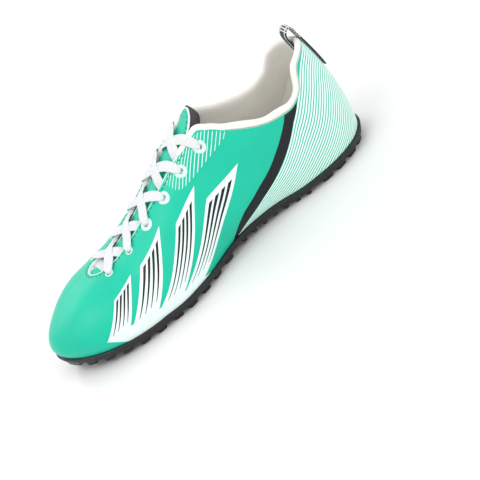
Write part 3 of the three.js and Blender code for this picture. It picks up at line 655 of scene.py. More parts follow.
def punch(objects):
    """Cuts the lace holes through the upper's wall."""
    form = Form()
    for side in SIDES:
        for k in range(1, EYELETS + 1):
            p, n = face(*eyelet_place(side, k))
            ring = hoop(p, n, EYELET_HOLE + 0.05, 20)
            form.tube(np.stack([ring - 5 * n, ring + 4 * n]))
    mesh = closed_mesh("cutter", form)
    straighten(mesh)
    cutter = placed("cutter", mesh)
    for obj in objects:
        cut = obj.modifiers.new("holes", "BOOLEAN")
        cut.object = cutter
        cut.solver = "EXACT"
        bpy.context.view_layer.update()
        graph = bpy.context.evaluated_depsgraph_get()
        done = bpy.data.meshes.new_from_object(obj.evaluated_get(graph))
        obj.modifiers.clear()
        obj.data = done
        done.shade_smooth()
        done.set_sharp_from_angle(angle=math.radians(40))
    bpy.data.objects.remove(cutter)


TOE_DENT_X, TOE_DENT_Y, TOE_DENT_LONG, TOE_DENT_WIDE = 257.0, 3.5, 13.0, 11.0


def calm_toe(obj):
    """Draws the crest of the toe from the face around it, where the two halves meet."""
    mesh = obj.data
    place = np.empty(3 * len(mesh.vertices))
    way = np.empty(3 * len(mesh.vertices))
    mesh.vertices.foreach_get("co", place)
    mesh.vertices.foreach_get("normal", way)
    place, up = place.reshape(-1, 3), way.reshape(-1, 3)[:, 2]
    u = (place[:, 0] / MM - SHIFT[0] - TOE_DENT_X) / TOE_DENT_LONG
    v = (place[:, 1] / MM - SHIFT[1] - TOE_DENT_Y) / TOE_DENT_WIDE
    far = np.hypot(u, v)
    powers = [(i, j) for i in range(5) for j in range(5 - i)]
    terms = np.stack([u ** i * v ** j for i, j in powers], -1)
    for facing in (1, -1):
        layer = up * facing > 0.15
        around = layer & (far > 1.0) & (far < 1.7) & (u < 1.25)
        inside = layer & (far < 1.25)
        fit = np.linalg.lstsq(terms[around], place[around, 2], rcond=None)[0]
        share = 1 - smooth((far[inside] - 0.85) / 0.4)
        place[inside, 2] = mix(place[inside, 2], terms[inside] @ fit, share)
    mesh.vertices.foreach_set("co", place.ravel())
    mesh.update()


SHELL = 1.25
WALL = 2.0
shell_x = spread_x(26, 24, 16, 54, 12, 36)
shell_form = wall(shell_x, 44, 0.0, lambda x, share: SHELL, (0, 1, 1))
shell = piece("upper_shell", shell_form, [upper_leather, cut_edge], ("upper",))


def lining_depth(x, share):
    """The lining swells to a soft rim beside the throat."""
    beside = smooth((x - 112) / 14) * (1 - smooth((x - 222) / 6))
    rim = np.clip((share - 0.86) / 0.10, 0, 1)
    edge = np.clip((share - 0.97) / 0.03, 0, 1)
    return WALL + 1.1 * beside * np.sin(rim * np.pi / 2) * (1 - 0.45 * edge)


quarter_form = wall(shell_x, 40, SHELL + 0.02, lining_depth)
quarter = piece("quarter_lining", quarter_form, [lining_suede])
calm_toe(shell)
calm_toe(quarter)
punch([shell, quarter])


# Collar roll with its lining: sections as (out over the edge, in under the face), in mm
ROLL = np.array([
    (0.35, 0.70), (1.20, 0.25), (2.40, 0.50), (3.25, 1.30), (3.60, 2.50), (3.35, 3.70), (2.50, 4.70),
    (1.10, 5.20), (-1.50, 5.25), (-5.00, 5.00), (-9.00, 4.70), (-14.0, 4.40), (-20.0, 3.60), (-26.0, 2.45),
    (-26.0, 2.15), (-14.0, 2.10), (-5.00, 2.10), (0.10, 2.10),
])
BINDING = np.array([
    (-1.60, -0.10), (-0.90, -0.45), (0.10, -0.50), (1.20, -0.10), (2.00, 0.70), (2.20, 1.60), (1.80, 2.50),
    (0.90, 3.05), (-0.40, 3.20), (-1.40, 3.10), (-2.20, 2.95), (-3.20, 2.75), (-4.20, 2.55), (-5.20, 2.40),
    (-5.20, 2.10), (-3.40, 2.05), (-2.20, 1.20), (-1.70, 0.40),
])
ROLL_END = 127.0


def dense_section(section, steps=3):
    """Rounds a closed outline by a spline through its points."""
    out = []
    for i in range(len(section)):
        around = [section[(i + k) % len(section)] for k in (-1, 0, 1, 2)]
        out += [knot(*around, t) for t in np.linspace(0, 1, steps, endpoint=False)]
    return np.array(out)


def roll_form():
    x = np.concatenate([HEEL_CAP * LENGTH * (1 - np.cos(np.linspace(0, np.pi / 2, 34)[:-1])),
                        np.linspace(HEEL_CAP * LENGTH, 90, 34)[:-1], np.linspace(90, 108, 26)[:-1],
                        np.linspace(108, ROLL_END, 20)])
    s = np.concatenate([along(x[::-1], LATERAL) - AROUND, along(x[1:], MEDIAL)])
    px = np.concatenate([x[::-1], x[1:]])
    side = np.concatenate([np.full(len(x), LATERAL), np.full(len(x) - 1, MEDIAL)])
    end = last_turn(px, side)
    run = unit(np.gradient(lifted(s, end, 0.0), axis=0))
    up = bare(s, end) - bare(s, end - 0.01)
    up = unit(up - (up * run).sum(-1, keepdims=True) * run)
    full = 1 - smooth((px - 84) / 24)
    close = np.sqrt(np.clip((ROLL_END + 0.5 - px) / 6, 0.04, 1))
    samples = np.linspace(0, 0.62, 60)
    walk = np.clip(end[:, None] - samples[None, :], 0.02, 1)
    path = lifted(s[:, None], walk, 0.0)
    length = np.concatenate([np.zeros((len(s), 1)),
                             np.cumsum(np.linalg.norm(np.diff(path, axis=1), axis=-1), axis=1)], axis=1)
    a, b = dense_section(ROLL), dense_section(BINDING)
    plump = 1 + 0.45 * smooth((px - 30) / 25)
    rings = []
    for i in range(len(s)):
        section = mix(b, a, full[i])
        w = section[:, 0] * close[i]
        d = 1.0 + (section[:, 1] - 1.0) * mix(close[i], 1.0, 0.3)
        turn = np.interp(np.maximum(-w, 0), length[i], walk[i])
        here = np.full(len(w), s[i])
        swell = plump[i] + 0.12 * math.sin(s[i] * 0.21) * full[i]
        proud = np.maximum(w, 0)[:, None] * swell * up[i]
        rings.append(lifted(here, turn, 0.0) + proud - d[:, None] * outward(here, turn))
    return Form().tube(np.array(rings))


roll = piece("collar_roll", roll_form(), [lining_suede], ("collar_lining",), 70)


# Tongue
TONGUE_TOP, TONGUE_END = 97.0, 231.0
PAD_DEPTH, PAD_UNDER, PAD_WIDTH_TOP, PAD_WIDTH_END, PAD_CORNER = 3.6, 6.3, 34.0, 30.0, 11.0
FACE_START, FACE_END, FACE_DEPTH, FACE_HALF_TOP, FACE_HALF_END = 98.6, 226.0, 2.5, 12.0, 7.6
TOP_ROUND = 15.0
CURL, CURL_END, CURL_LENGTH = 2.6, 118.0, 20.0


def pad_half(x):
    t = (x - TONGUE_TOP) / (TONGUE_END - TONGUE_TOP)
    fade = np.clip((x - TONGUE_TOP) / TOP_ROUND, 0, 1)
    return (mix(PAD_WIDTH_TOP, PAD_WIDTH_END, t) - PAD_CORNER * (1 - np.sqrt(fade * (2 - fade)))) / 2


def face_half(x):
    fade = np.clip((x - FACE_START) / TOP_ROUND, 0, 1)
    return mix(FACE_HALF_TOP, FACE_HALF_END, smooth((x - 108) / 90)) * np.sqrt(fade * (2 - fade)) + 0.02


def tongue_middle(x):
    """The tongue's face lies a little to the outside at its top, as in a worn shoe."""
    return centre(x) + mix(-3.6, 0.8, smooth((x - 104) / 34))


def curl(x):
    """The tongue's top stands up a little."""
    return CURL * np.clip((CURL_END - x) / CURL_LENGTH, 0, 1) ** 1.5


def tongue_solid(x, half, middle, top_at, under_at, marks, rim):
    """Sheet under the face between two depths as functions of x and u, its edges drawn in by rim."""
    columns = 27
    u = np.sin(np.linspace(-1, 1, columns) * np.pi / 2)
    y = middle[:, None] + half[:, None] * u[None, :]
    p, n = face(np.repeat(x[:, None], columns, 1), y)
    x, u = x[:, None], u[None, :]
    edge = rim * np.maximum(np.abs(u) ** 8, np.exp(-((x - x[0]) / 0.8) ** 2))
    top = p - n * (top_at(x, u) + edge - curl(x))[..., None]
    under = p - n * (under_at(x, u) - edge - curl(x))[..., None]
    return Form().sheet(top, under, marks, np.stack(np.broadcast_arrays(x, y), -1))


def pad_form():
    x = mix(TONGUE_TOP, TONGUE_END, np.linspace(0, 1, 80) ** 1.25)
    return tongue_solid(x, pad_half(x), centre(x), lambda x, u: PAD_DEPTH + 0.35 * u ** 2,
                        lambda x, u: PAD_UNDER - 0.3 * u ** 2, (0, 0, 0), 0.8)


def tongue_face_form():
    x = mix(FACE_START, FACE_END, np.linspace(0, 1, 90) ** 1.4)
    return tongue_solid(x, face_half(x), tongue_middle(x),
                        lambda x, u: FACE_DEPTH - (0.45 - 0.15 * np.sin(x * 0.19)) * (1 - u ** 2),
                        lambda x, u: PAD_DEPTH + 0.1, (0, 0, 1), 0.12)


tongue = piece("tongue_pad", pad_form(), [charcoal_mesh], ("tongue",), 50)
piece("tongue_face", tongue_face_form(), [tongue_leather, cut_edge], (), 50)


# Eyelets
DISC_RADIUS, SMALL_DISC_RADIUS = 4.8, 3.1


def eyelet_form(side, number):
    p, n = face(*eyelet_place(side, number))
    radius = DISC_RADIUS if number > 2 else SMALL_DISC_RADIUS
    shape = [(EYELET_HOLE, -1.9), (EYELET_HOLE, 0.1), (EYELET_HOLE + 0.15, 0.42), (EYELET_HOLE + 0.5, 0.55),
             (radius - 0.8, 0.50), (radius - 0.25, 0.40), (radius, 0.18), (radius, -0.05),
             (EYELET_HOLE + 0.35, -0.05), (EYELET_HOLE + 0.3, -1.9)]
    rings = []
    for r, lift in shape:
        spot = hoop(p, n, r, 36)
        q, m = face(spot[:, 0], spot[:, 1])
        rings.append(q + m * lift if lift > -0.2 else spot + n * lift)
    return Form().add(rings, quads(len(shape), 36, 0, True, True))


for sign, word in ((MEDIAL, "medial"), (LATERAL, "lateral")):
    for k in range(1, EYELETS + 1):
        piece(f"eyelet_disc_{word}_{k}", eyelet_form(sign, k), [ring_plastic],
              (f"eyelet_{word}_{k}",), 50)


# Laces
# Side and number where a strand starts, over or under there, the same where it ends, and its layer
STRANDS = (
    (MEDIAL, 1, "under", LATERAL, 1, "under", 0),
    (MEDIAL, 1, "over", LATERAL, 2, "under", 1),
    (LATERAL, 2, "over", MEDIAL, 3, "under", 0),
    (MEDIAL, 3, "over", LATERAL, 4, "under", 1),
    (LATERAL, 4, "over", MEDIAL, 5, "over", 0),
    (MEDIAL, 5, "under", LATERAL, 6, "over", 1),
    (LATERAL, 1, "over", MEDIAL, 2, "under", 0),
    (MEDIAL, 2, "over", LATERAL, 3, "under", 1),
    (LATERAL, 3, "over", MEDIAL, 4, "over", 0),
    (MEDIAL, 4, "under", LATERAL, 5, "over", 1),
    (LATERAL, 5, "under", MEDIAL, 6, "over", 0),
)
# The strand's way out of a hole: distance, height over the face, width and thickness
OVER_PATH = ((0.7, -3.2, 3.3, 1.7), (0.45, -1.0, 3.5, 1.8), (0.85, 0.65, 4.9, 1.7), (2.8, 1.75, 6.9, 1.4),
             (6.8, 1.65, 7.8, 1.25), (12.0, 1.35, 8.0, 1.15))
UNDER_PATH = ((-0.6, -1.5, 2.6, 1.2), (0.0, -2.4, 3.0, 1.3), (2.4, -2.75, 5.5, 1.1), (6.4, -2.6, 7.2, 1.05),
              (9.6, -1.1, 7.7, 1.1), (13.5, 0.7, 7.9, 1.15))


def spline(points, count):
    """Smooth curve through rows of numbers, evenly spaced along its first three columns."""
    p = np.asarray(points, float)
    p = np.concatenate([[2 * p[0] - p[1]], p, [2 * p[-1] - p[-2]]])
    out = []
    for i in range(1, len(p) - 2):
        out.append(knot(*p[i - 1:i + 3], np.linspace(0, 1, 12, endpoint=False)[:, None]))
    out = np.concatenate([*out, p[-2:-1]])
    d = travelled(out[:, :3])
    at = np.linspace(0, d[-1], count)
    return np.stack([np.interp(at, d, out[:, k]) for k in range(out.shape[1])], -1), at


def squared(values, power):
    """Circle's cosines or sines drawn out towards a rectangle."""
    return np.sign(values) * np.abs(values) ** power


def ribbon(form, path, across, width, thick, lengths, crown=0.0):
    """Flat strap along a path: rounded section with its own flat coordinates in mm."""
    c, s = circle(14)
    cu, cv = squared(c, 0.35), squared(s, 0.8)
    run = unit(np.gradient(path, axis=0))
    across = unit(across - (across * run).sum(-1, keepdims=True) * run)
    lift = np.cross(run, across)
    rings = (path[:, None] + across[:, None] * (cu * width[:, None] / 2)[..., None]
             + lift[:, None] * (cv * thick[:, None] / 2 - crown * cu ** 2)[..., None])
    flat = np.stack([cu[None] * width[:, None] / 2, np.repeat(lengths[:, None], len(cu), 1)], -1)
    form.tube(rings, flat)


LACE_WIDTH, LACE_LAYER = 8.0, 1.15


def strand(form, row, seed):
    side_a, num_a, way_a, side_b, num_b, way_b, layer = row
    a, b = np.array(eyelet_place(side_a, num_a)), np.array(eyelet_place(side_b, num_b))
    run = (b - a) / np.linalg.norm(b - a)
    span = np.linalg.norm(b - a)
    start = OVER_PATH if way_a == "over" else UNDER_PATH
    stop = OVER_PATH if way_b == "over" else UNDER_PATH
    reach = min(1.0, span / 28.5)
    rows = [(d * reach, lift, w, h) for d, lift, w, h in start]
    if num_a == num_b:
        rows = rows[:4] + [(span / 2, -2.3, LACE_WIDTH, 1.1)]
        stop = stop[:4]
    else:
        rows.append((span / 2, 1.25 + LACE_LAYER * layer, LACE_WIDTH, LACE_LAYER))
    rows += [(span - d * reach, lift, w, h) for d, lift, w, h in reversed(stop)]
    rows = np.array(rows)
    plan = a + rows[:, :1] * run
    sway = 0.35 * math.sin(seed * 2.3)
    side_step = np.array([-run[1], run[0]])
    plan = plan + side_step * (sway * np.sin(np.pi * rows[:, :1] / span))
    p, n = face(plan[:, 0], plan[:, 1])
    fine, lengths = spline(np.concatenate([p + n * rows[:, 1:2], rows[:, 2:], n], axis=1), 72)
    path, width, thick, normal = fine[:, :3], fine[:, 3], fine[:, 4], unit(fine[:, 5:8])
    across = np.cross(normal, np.array([run[0], run[1], 0.0]))
    ribbon(form, path, across, width, thick, lengths, crown=0.18)


def lace_form():
    form = Form()
    for seed, row in enumerate(STRANDS):
        strand(form, row, seed)
    return form


piece("laces", lace_form(), [lace_weave], ("lace",), 60)


# Heel pull loop
LOOP_WIDTH, LOOP_THICK, LOOP_REACH, LOOP_HEIGHT = 12.0, 1.5, 6.8, 13.6
RIB_LENGTH, LINE_PLACE, LINE_HALF, CROWN_START, CROWN_END = 1.9, 4.1, 0.75, 30.0, 47.0


def drop_point(distance, depth):
    """Point on the heel's back line, a distance below the collar's edge, sunk under the face."""
    end = float(last_turn(0.0, MEDIAL))
    turn = np.linspace(end, 0.02, 200)
    path = bare(np.zeros(200), turn)
    t = np.interp(distance, travelled(path), turn)
    return bare(0.0, t) - outward(0.0, t) * depth


def loop_form():
    top = bare(0.0, last_turn(0.0, MEDIAL))
    outer = [drop_point(d, -1.0) for d in (28.0, 22.0, 16.0, 10.0, 5.0, 0.5)]
    crown = [top + np.array([LOOP_REACH * r, 0, LOOP_HEIGHT * h]) for r, h in
             ((0.05, 0.45), (0.20, 0.82), (0.52, 0.99), (0.98, 0.88), (1.22, 0.55))]
    inner = [drop_point(d, 7.4) for d in (1.5, 7.0, 13.0)]
    path, at = spline(np.array(outer + crown + inner), 110)
    path[:, 1] = 0.0
    form = Form()
    one = np.ones(len(path))
    ribbon(form, path, np.outer(one, [0.0, 1.0, 0.0]), LOOP_WIDTH * one, LOOP_THICK * one, at)
    return form


def webbing():
    """Dark ribbed band with two pale lines and, at its crown, pale ribs."""
    paint = Paint("webbing", (0.012, 0.012, 0.015), 0.8, Sheen_Weight=0.15)
    split = paint.node("ShaderNodeSeparateXYZ")
    paint.link(paint.place.outputs["UV"], split.inputs[0])
    u, v = split.outputs[0], split.outputs[1]
    ribs = paint.maths("SINE", paint.maths("MULTIPLY", v, 2 * math.pi / RIB_LENGTH))
    beside = paint.maths("SUBTRACT", paint.maths("ABSOLUTE", u), LINE_PLACE)
    border = paint.maths("LESS_THAN", paint.maths("ABSOLUTE", beside), LINE_HALF)
    low = paint.maths("GREATER_THAN", v, CROWN_START)
    high = paint.maths("LESS_THAN", v, CROWN_END)
    tip = paint.maths("MULTIPLY", paint.maths("MULTIPLY", low, high), paint.maths("GREATER_THAN", ribs, 0.0))
    paint.tint(paint.maths("MAXIMUM", border, tip), (0.80, 0.81, 0.83))
    paint.bump(ribs, 0.0005, 0.9)
    paint.bump(paint.noise(2600.0, 3.0), 0.0001, 0.5)
    return paint.material


piece("pull_tab", loop_form(), [webbing()], ("heel_pull_loop",), 60)


# Sole
BAND, SOLE_MARGIN, LIP_STEP = 5.2, 1.9, 0.9
LIP = SOLE_MARGIN - LIP_STEP
RIB_PITCH, RIB_HEIGHT, RIBS_FADE, RIBS_FADE_LENGTH = 1.8, 0.16, 95.0, 25.0


def plan_ring(x, push, high):
    """Points round the sole at stations x of both sides, pushed out from the feather line."""
    s, px, side = loop_stations(x)
    plan = np.stack([px, rim_y(px, side)], -1)
    ds = 0.4
    run = unit((bare(s + ds, 0.0) - bare(s - ds, 0.0))[:, :2])
    out = np.stack([-run[:, 1], run[:, 0]], -1)
    z = feather(px) + high
    return np.concatenate([plan + out * np.asarray(push)[..., None], z[:, None]], -1)


def lid(count, offset, half):
    """Faces across a ring that starts at the heel, from one half to the other."""
    faces = []
    for i in range(half):
        corners = dict.fromkeys([i, i + 1, -(i + 1) % count, -i % count])
        faces.append([offset + v for v in corners])
    return faces


def stacked(x, profile, ribs):
    """Plate from rings of a profile; rings with a rib height are finely ribbed round the heel."""
    s, px, _ = loop_stations(x)
    wave = np.sin(2 * np.pi * s / RIB_PITCH) * (1 - smooth((px - RIBS_FADE) / RIBS_FADE_LENGTH))
    grid = np.array([plan_ring(x, push + rib * wave, high) for (push, high), rib in zip(profile, ribs)])
    rows, n = grid.shape[:2]
    faces = quads(rows, n, 0, False, True)
    return Form().add(grid, faces + lid(n, 0, len(x) - 1) + lid(n, (rows - 1) * n, len(x) - 1))


def outline(length, depth, power, count):
    c, s = circle(count)
    return np.stack([squared(c, power) * length / 2, squared(s, power) * depth / 2], -1)


# A stud's size down its height as (share, scale)
TAPER = ((0.0, 1.06), (0.16, 1.0), (0.5, 0.93), (0.80, 0.865), (0.92, 0.84), (0.98, 0.80), (1.0, 0.74))
# Edge studs as start and stop along the edge, length and pitch; fields of round studs as start and stop
EDGE_STUDS = ((0.000, 0.225, 10.6, 15.5), (0.245, 0.455, 4.2, 9.0), (0.475, 0.935, 9.2, 14.6),
              (0.935, 1.000, 19.0, 30.0))
STUD_FIELDS = ((0.10, 0.17), (0.56, 0.84))
EDGE_INSET, EDGE_DEPTH, FIELD_INSET, FIELD_PITCH, ROUND_STUD = 4.5, 7.0, 14.5, 18.0, 9.0


def stud(form, x, y, heading, shape):
    top, bottom = float(feather(x)) - BAND + 1.0, float(floor_line(x))
    c, s = math.cos(heading), math.sin(heading)
    plan = shape @ np.array([[c, s], [-s, c]])
    rings = []
    for share, scale in TAPER:
        high = np.full((len(plan), 1), mix(top, bottom, share))
        rings.append(np.concatenate([plan * scale + [x, y], high], 1))
    form.tube(np.array(rings))


def sole_form():
    x = np.interp(np.linspace(0, LENGTH_IN[-1], 700), LENGTH_IN, PLAN_X)
    profile = ((-11.0, -BAND + 0.3), (-10.4, -BAND), (LIP - 1.9, -BAND), (LIP - 1.1, -BAND + 0.15),
               (LIP - 0.4, -BAND + 0.6), (LIP - 0.08, -BAND + 1.2), (LIP, -BAND + 2.0), (LIP, -2.35),
               (LIP + 0.2, -1.95), (SOLE_MARGIN - 0.25, -1.75), (SOLE_MARGIN, -1.5), (SOLE_MARGIN, -0.9),
               (SOLE_MARGIN - 0.08, -0.45), (SOLE_MARGIN - 0.5, -0.1), (0.8, 0.18), (0.3, 0.3), (0.05, 0.0),
               (-0.8, -0.3))
    ribs = [RIB_HEIGHT if 9 <= k <= 12 else 0.0 for k in range(len(profile))]
    form = stacked(x, profile, ribs)
    for side in SIDES:
        table = LENGTH_IN if side > 0 else LENGTH_OUT
        for start, stop, size, pitch in EDGE_STUDS:
            count = max(round((stop - start) * table[-1] / pitch), 1)
            for i in range(count):
                px = float(np.interp(mix(start, stop, (i + 0.5) / count) * table[-1], table, PLAN_X))
                ends = np.clip([px - 0.5, px + 0.5], 0, LENGTH)
                way = unit(np.array([np.diff(ends)[0], np.diff(rim_y(ends, side))[0]]))
                inward = side * np.array([way[1], -way[0]])
                spot = np.array([px, float(rim_y(px, side))]) + inward * EDGE_INSET
                stud(form, *spot, math.atan2(way[1], way[0]), outline(size, EDGE_DEPTH, 0.42, 32))
    for start, stop in STUD_FIELDS:
        rows = max(round((stop - start) * LENGTH / FIELD_PITCH), 1)
        for row in range(rows + 1):
            px = LENGTH * mix(start, stop, row / rows)
            left = float(rim_y(px, MEDIAL)) - FIELD_INSET
            right = float(rim_y(px, LATERAL)) + FIELD_INSET
            gaps = max(int((left - right) // FIELD_PITCH), 1)
            for k in range(gaps + 1):
                stud(form, px, mix(right, left, k / gaps), 0.0, outline(ROUND_STUD, ROUND_STUD, 1.0, 28))
    return form


piece("sole_unit", sole_form(), [sole_rubber], ("outsole",), 35)


INSOLE_THICK, INSOLE_GAP, INSOLE_CUP = 3.0, 0.5, 1.6


def insole_form():
    x = np.interp(np.linspace(0, LENGTH_IN[-1], 150), LENGTH_IN, PLAN_X)
    ring = plan_ring(x, -(WALL + INSOLE_GAP), 0.0)
    n = len(x)
    inner, outer = ring[:n], np.concatenate([ring[:1], ring[n:][::-1], ring[n - 1:n]])
    u = np.linspace(0, 1, 29)
    grid = mix(inner[:, None], outer[:, None], u[None, :, None])
    edge = np.abs(2 * u - 1)[None, :]
    cup = INSOLE_CUP * edge ** 6 * (1 - smooth((x - 60) / 60))[:, None]
    top, under = grid.copy(), grid.copy()
    top[..., 2] += INSOLE_THICK - 1.1 * edge ** 24 + cup * (edge < 0.999)
    under[..., 2] += 0.05
    return Form().sheet(top, under, flat=grid[..., :2])


piece("sock_liner", insole_form(), [insole_cloth], ("insole",), 50)


# Prints on the upper: thin raised panels, by how far their foot and their faces lie over the skin
PRINT_ROOT, BAND_LIFT, LINE_LIFT, SHARD_LIFT, HATCH_LIFT = -0.15, 0.16, 0.12, 0.13, 0.19
FAN_HALF, HATCH_STEP = 0.62, 0.205


def curve(points, count):
    """Smooth line through places as (x, turn)."""
    scale = [1.0, 90.0]
    return spline(np.array(points) * scale, count)[0] / scale


def panel(form, left, right, side, across, lift):
    """Raised patch between two long edges, each a row of (x, turn)."""
    u = np.linspace(0, 1, across)[None, :]
    s_left, s_right = along(left[:, 0], side), along(right[:, 0], side)
    s = mix(s_left[:, None], s_right[:, None], u)
    turn = mix(left[:, 1][:, None], right[:, 1][:, None], u)
    x, sides = station(s)
    turn = np.clip(turn, 0.004, last_turn(x, sides) * 0.985)
    form.sheet(lifted(s, turn, lift), lifted(s, turn, PRINT_ROOT))


BAND_LEFT = ((50.0, 0.290), (51.5, 0.278), (59.0, 0.250), (71.5, 0.212), (85.0, 0.171), (100.5, 0.138),
             (113.0, 0.110), (122.0, 0.070), (133.0, 0.000))
BAND_RIGHT = ((35.5, 0.310), (38.5, 0.278), (45.5, 0.246), (59.0, 0.196), (72.5, 0.154), (87.0, 0.108),
              (99.5, 0.079), (113.0, 0.045), (128.5, 0.000))


def band_form():
    form = Form()
    for side in SIDES:
        panel(form, curve(BAND_LEFT, 90), curve(BAND_RIGHT, 90), side, 9, BAND_LIFT)
    return form


# Lines behind the band: number and half width, gap at the heel's seam, millimetres for one turn
STRIPES, STRIPE_HALF, SEAM_GAP, TURN_MM = 33, 0.29, 2.2, 190.0


def stripes_form():
    """Thin lines under the collar and behind the band, their edge drawn in towards the heel's foot."""
    form = Form()
    edge, rank = curve(BAND_RIGHT, 90), np.arange(120.0)
    last = rank[-1]
    collar_x = np.linspace(0, edge[0, 0], 40)[:-1]
    for side in SIDES:
        rim = np.concatenate([np.stack([collar_x, last_turn(collar_x, side)], -1), edge])
        far = along(rim[:, 0], side)
        rim = np.stack([far if side > 0 else AROUND - far, rim[:, 1] * TURN_MM], -1)
        gone = travelled(rim)
        rim = np.stack([np.interp(rank / last * gone[-1], gone, rim[:, i]) for i in (0, 1)], -1)
        for _ in range(40):
            rim[1:-1] = (rim[:-2] + rim[2:]) / 2
        for k in range(1, STRIPES):
            share = 1 - (k - 0.4) / STRIPES
            at = np.linspace(np.interp(SEAM_GAP, rim[:, 0] * share, rank), last, 50)
            pair = share + np.array([1, -1]) * STRIPE_HALF / STRIPES
            s = np.interp(at, rank, rim[:, 0])[:, None] * pair
            turn = np.interp(at, rank, rim[:, 1])[:, None] * pair / TURN_MM
            s = s if side > 0 else AROUND - s
            x, sides = station(s)
            turn = np.clip(turn, 0.003, last_turn(x, sides) * 0.99)
            form.sheet(lifted(s, turn, LINE_LIFT), lifted(s, turn, PRINT_ROOT))
    return form


# Ends of the slanting lines by the top eyelets as (x, turn)
FAN_TOP = ((90.2, 0.462), (92.5, 0.482), (94.5, 0.502), (96.8, 0.526), (99.0, 0.552),
           (101.2, 0.578), (103.5, 0.602), (106.0, 0.628), (108.8, 0.648), (111.8, 0.662), (114.8, 0.676),
           (118.0, 0.692), (121.2, 0.708), (124.5, 0.722), (127.8, 0.735), (131.0, 0.747), (134.2, 0.758),
           (137.4, 0.768))
FAN_BOTTOM = ((94.5, 0.446), (99.2, 0.450), (104.2, 0.458), (109.0, 0.464), (113.8, 0.470),
              (118.4, 0.474), (123.0, 0.480), (127.6, 0.486), (131.8, 0.496), (135.4, 0.509), (138.4, 0.526),
              (140.8, 0.550), (142.5, 0.580), (143.6, 0.614), (144.5, 0.652), (145.1, 0.690), (145.0, 0.725),
              (144.2, 0.752))


def fan_form():
    form = Form()
    for side in SIDES:
        for a, b in zip(np.array(FAN_TOP), np.array(FAN_BOTTOM)):
            line = mix(a, b, np.linspace(-0.02, 1, 26)[:, None])
            panel(form, line - [FAN_HALF, 0.0], line + [FAN_HALF, 0.0], side, 2, LINE_LIFT)
    return form


# Leaning shards along the sole as (x, turn): foot and shoulder towards the toe, tip, foot towards the heel
SHARDS = (
    ((248.0, 0.130), (226.0, 0.480), (205.0, 0.580), (229.5, 0.150)),
    ((228.0, 0.140), (196.0, 0.560), (168.0, 0.600), (207.0, 0.110)),
    ((206.0, 0.105), (158.0, 0.470), (131.0, 0.455), (186.0, 0.065)),
    ((185.0, 0.065), (130.0, 0.345), (97.0, 0.318), (166.0, 0.020)),
)
HATCHES = 4
STRIP_X, STRIP_TURN = (163, 185, 206, 228, 247.6), (0.012, 0.085, 0.130, 0.172, 0.135)


def shard_line(shard, u, v):
    """Points inside a shard: u from its toe edge to its heel edge, v from foot to top."""
    foot, shoulder, tip, heel = np.array(shard)
    u, v = u[..., None], v[..., None]
    return mix(mix(foot, heel, u), mix(shoulder, tip, u), v)


def shards_form():
    form = Form()
    low_x, high_x = np.linspace(236, 160, 60), np.linspace(STRIP_X[-1], STRIP_X[0], 60)
    low = np.stack([low_x, np.full(60, 0.003)], -1)
    high = np.stack([high_x, np.interp(high_x, STRIP_X, STRIP_TURN)], -1)
    v = np.linspace(0, 1, 44)
    for side in SIDES:
        panel(form, low, high, side, 4, LINE_LIFT)
        for shard in SHARDS:
            panel(form, shard_line(shard, 0 * v, v), shard_line(shard, 0 * v + 1, v), side, 9, SHARD_LIFT)
    return form


def hatch_form():
    form = Form()
    for side in SIDES:
        for shard in SHARDS:
            for k in range(HATCHES):
                v = np.linspace(0.10 + 0.03 * k, 0.915, 40)
                u = 0.5 + (k - (HATCHES - 1) / 2) * HATCH_STEP
                half = 0.010 + 0.052 * ((v - v[0]) / (v[-1] - v[0])) ** 0.8
                toe_edge, heel_edge = shard_line(shard, u - half, v), shard_line(shard, u + half, v)
                panel(form, toe_edge, heel_edge, side, 2, HATCH_LIFT)
    return form


piece("collar_band", band_form(), [black_ink], (), 60)
piece("heel_stripes", stripes_form(), [mint_ink], (), 60)
piece("throat_stripes", fan_form(), [mint_ink], (), 60)
piece("shard_print", shards_form(), [mint_ink], (), 60)
piece("shard_hatch", hatch_form(), [black_ink], (), 60)


# Stitches
STITCH, STITCH_PITCH, STITCH_HALF_WIDE, STITCH_HALF_HIGH = 2.4, 3.6, 0.425, 0.22


def stitches(plan, lift, rise):
    """Short raised stitches along a line in plan over the uncut face."""
    form = Form()
    d = travelled(plan)
    c, s = circle(8)
    for start in np.arange(STITCH_PITCH / 2, d[-1] - STITCH, STITCH_PITCH):
        at = start + np.linspace(0, STITCH, 7)
        xy = np.stack([np.interp(at, d, plan[:, 0]), np.interp(at, d, plan[:, 1])], -1)
        p, n = face(xy[:, 0], xy[:, 1])
        swell = np.sin(np.linspace(0.12, math.pi - 0.12, 7))
        path = p + n * (lift + rise(xy[:, 0]) - 0.12 + 0.22 * swell)[:, None]
        wide = STITCH_HALF_WIDE * np.cross(n, unit(np.gradient(path, axis=0)))
        section = c[:, None] * wide[:, None] + s[:, None] * STITCH_HALF_HIGH * n[:, None]
        form.tube(path[:, None] + section * swell[:, None, None] ** 0.5)
    return form


def throat_line(offset):
    """Line in plan round the throat, an offset outside its edge."""
    turnup = THROAT_FRONT - THROAT_ROUND
    x = np.concatenate([np.linspace(121, turnup, 90),
                        turnup + THROAT_ROUND * np.sin(np.linspace(0, np.pi / 2, 40))[1:]])
    y = np.maximum(throat_half(x), 0)
    line = np.stack([x, y], -1)
    run = unit(np.gradient(line, axis=0))
    out = line + offset * np.stack([-run[:, 1], run[:, 0]], -1)
    px, half = out[:, 0], np.maximum(out[:, 1], 0)
    return both_edges(px[::-1], centre(px)[::-1], -half[::-1])


def both_edges(x, middle, half):
    """Line down one edge from the last x, across at the first and back along the other."""
    near, far = np.stack([x, middle - half], -1), np.stack([x, middle + half], -1)
    return np.concatenate([near[::-1], far[1:]])


piece("throat_stitches", stitches(throat_line(2.6), 0.05, lambda x: 0.0), [thread], (), 60)


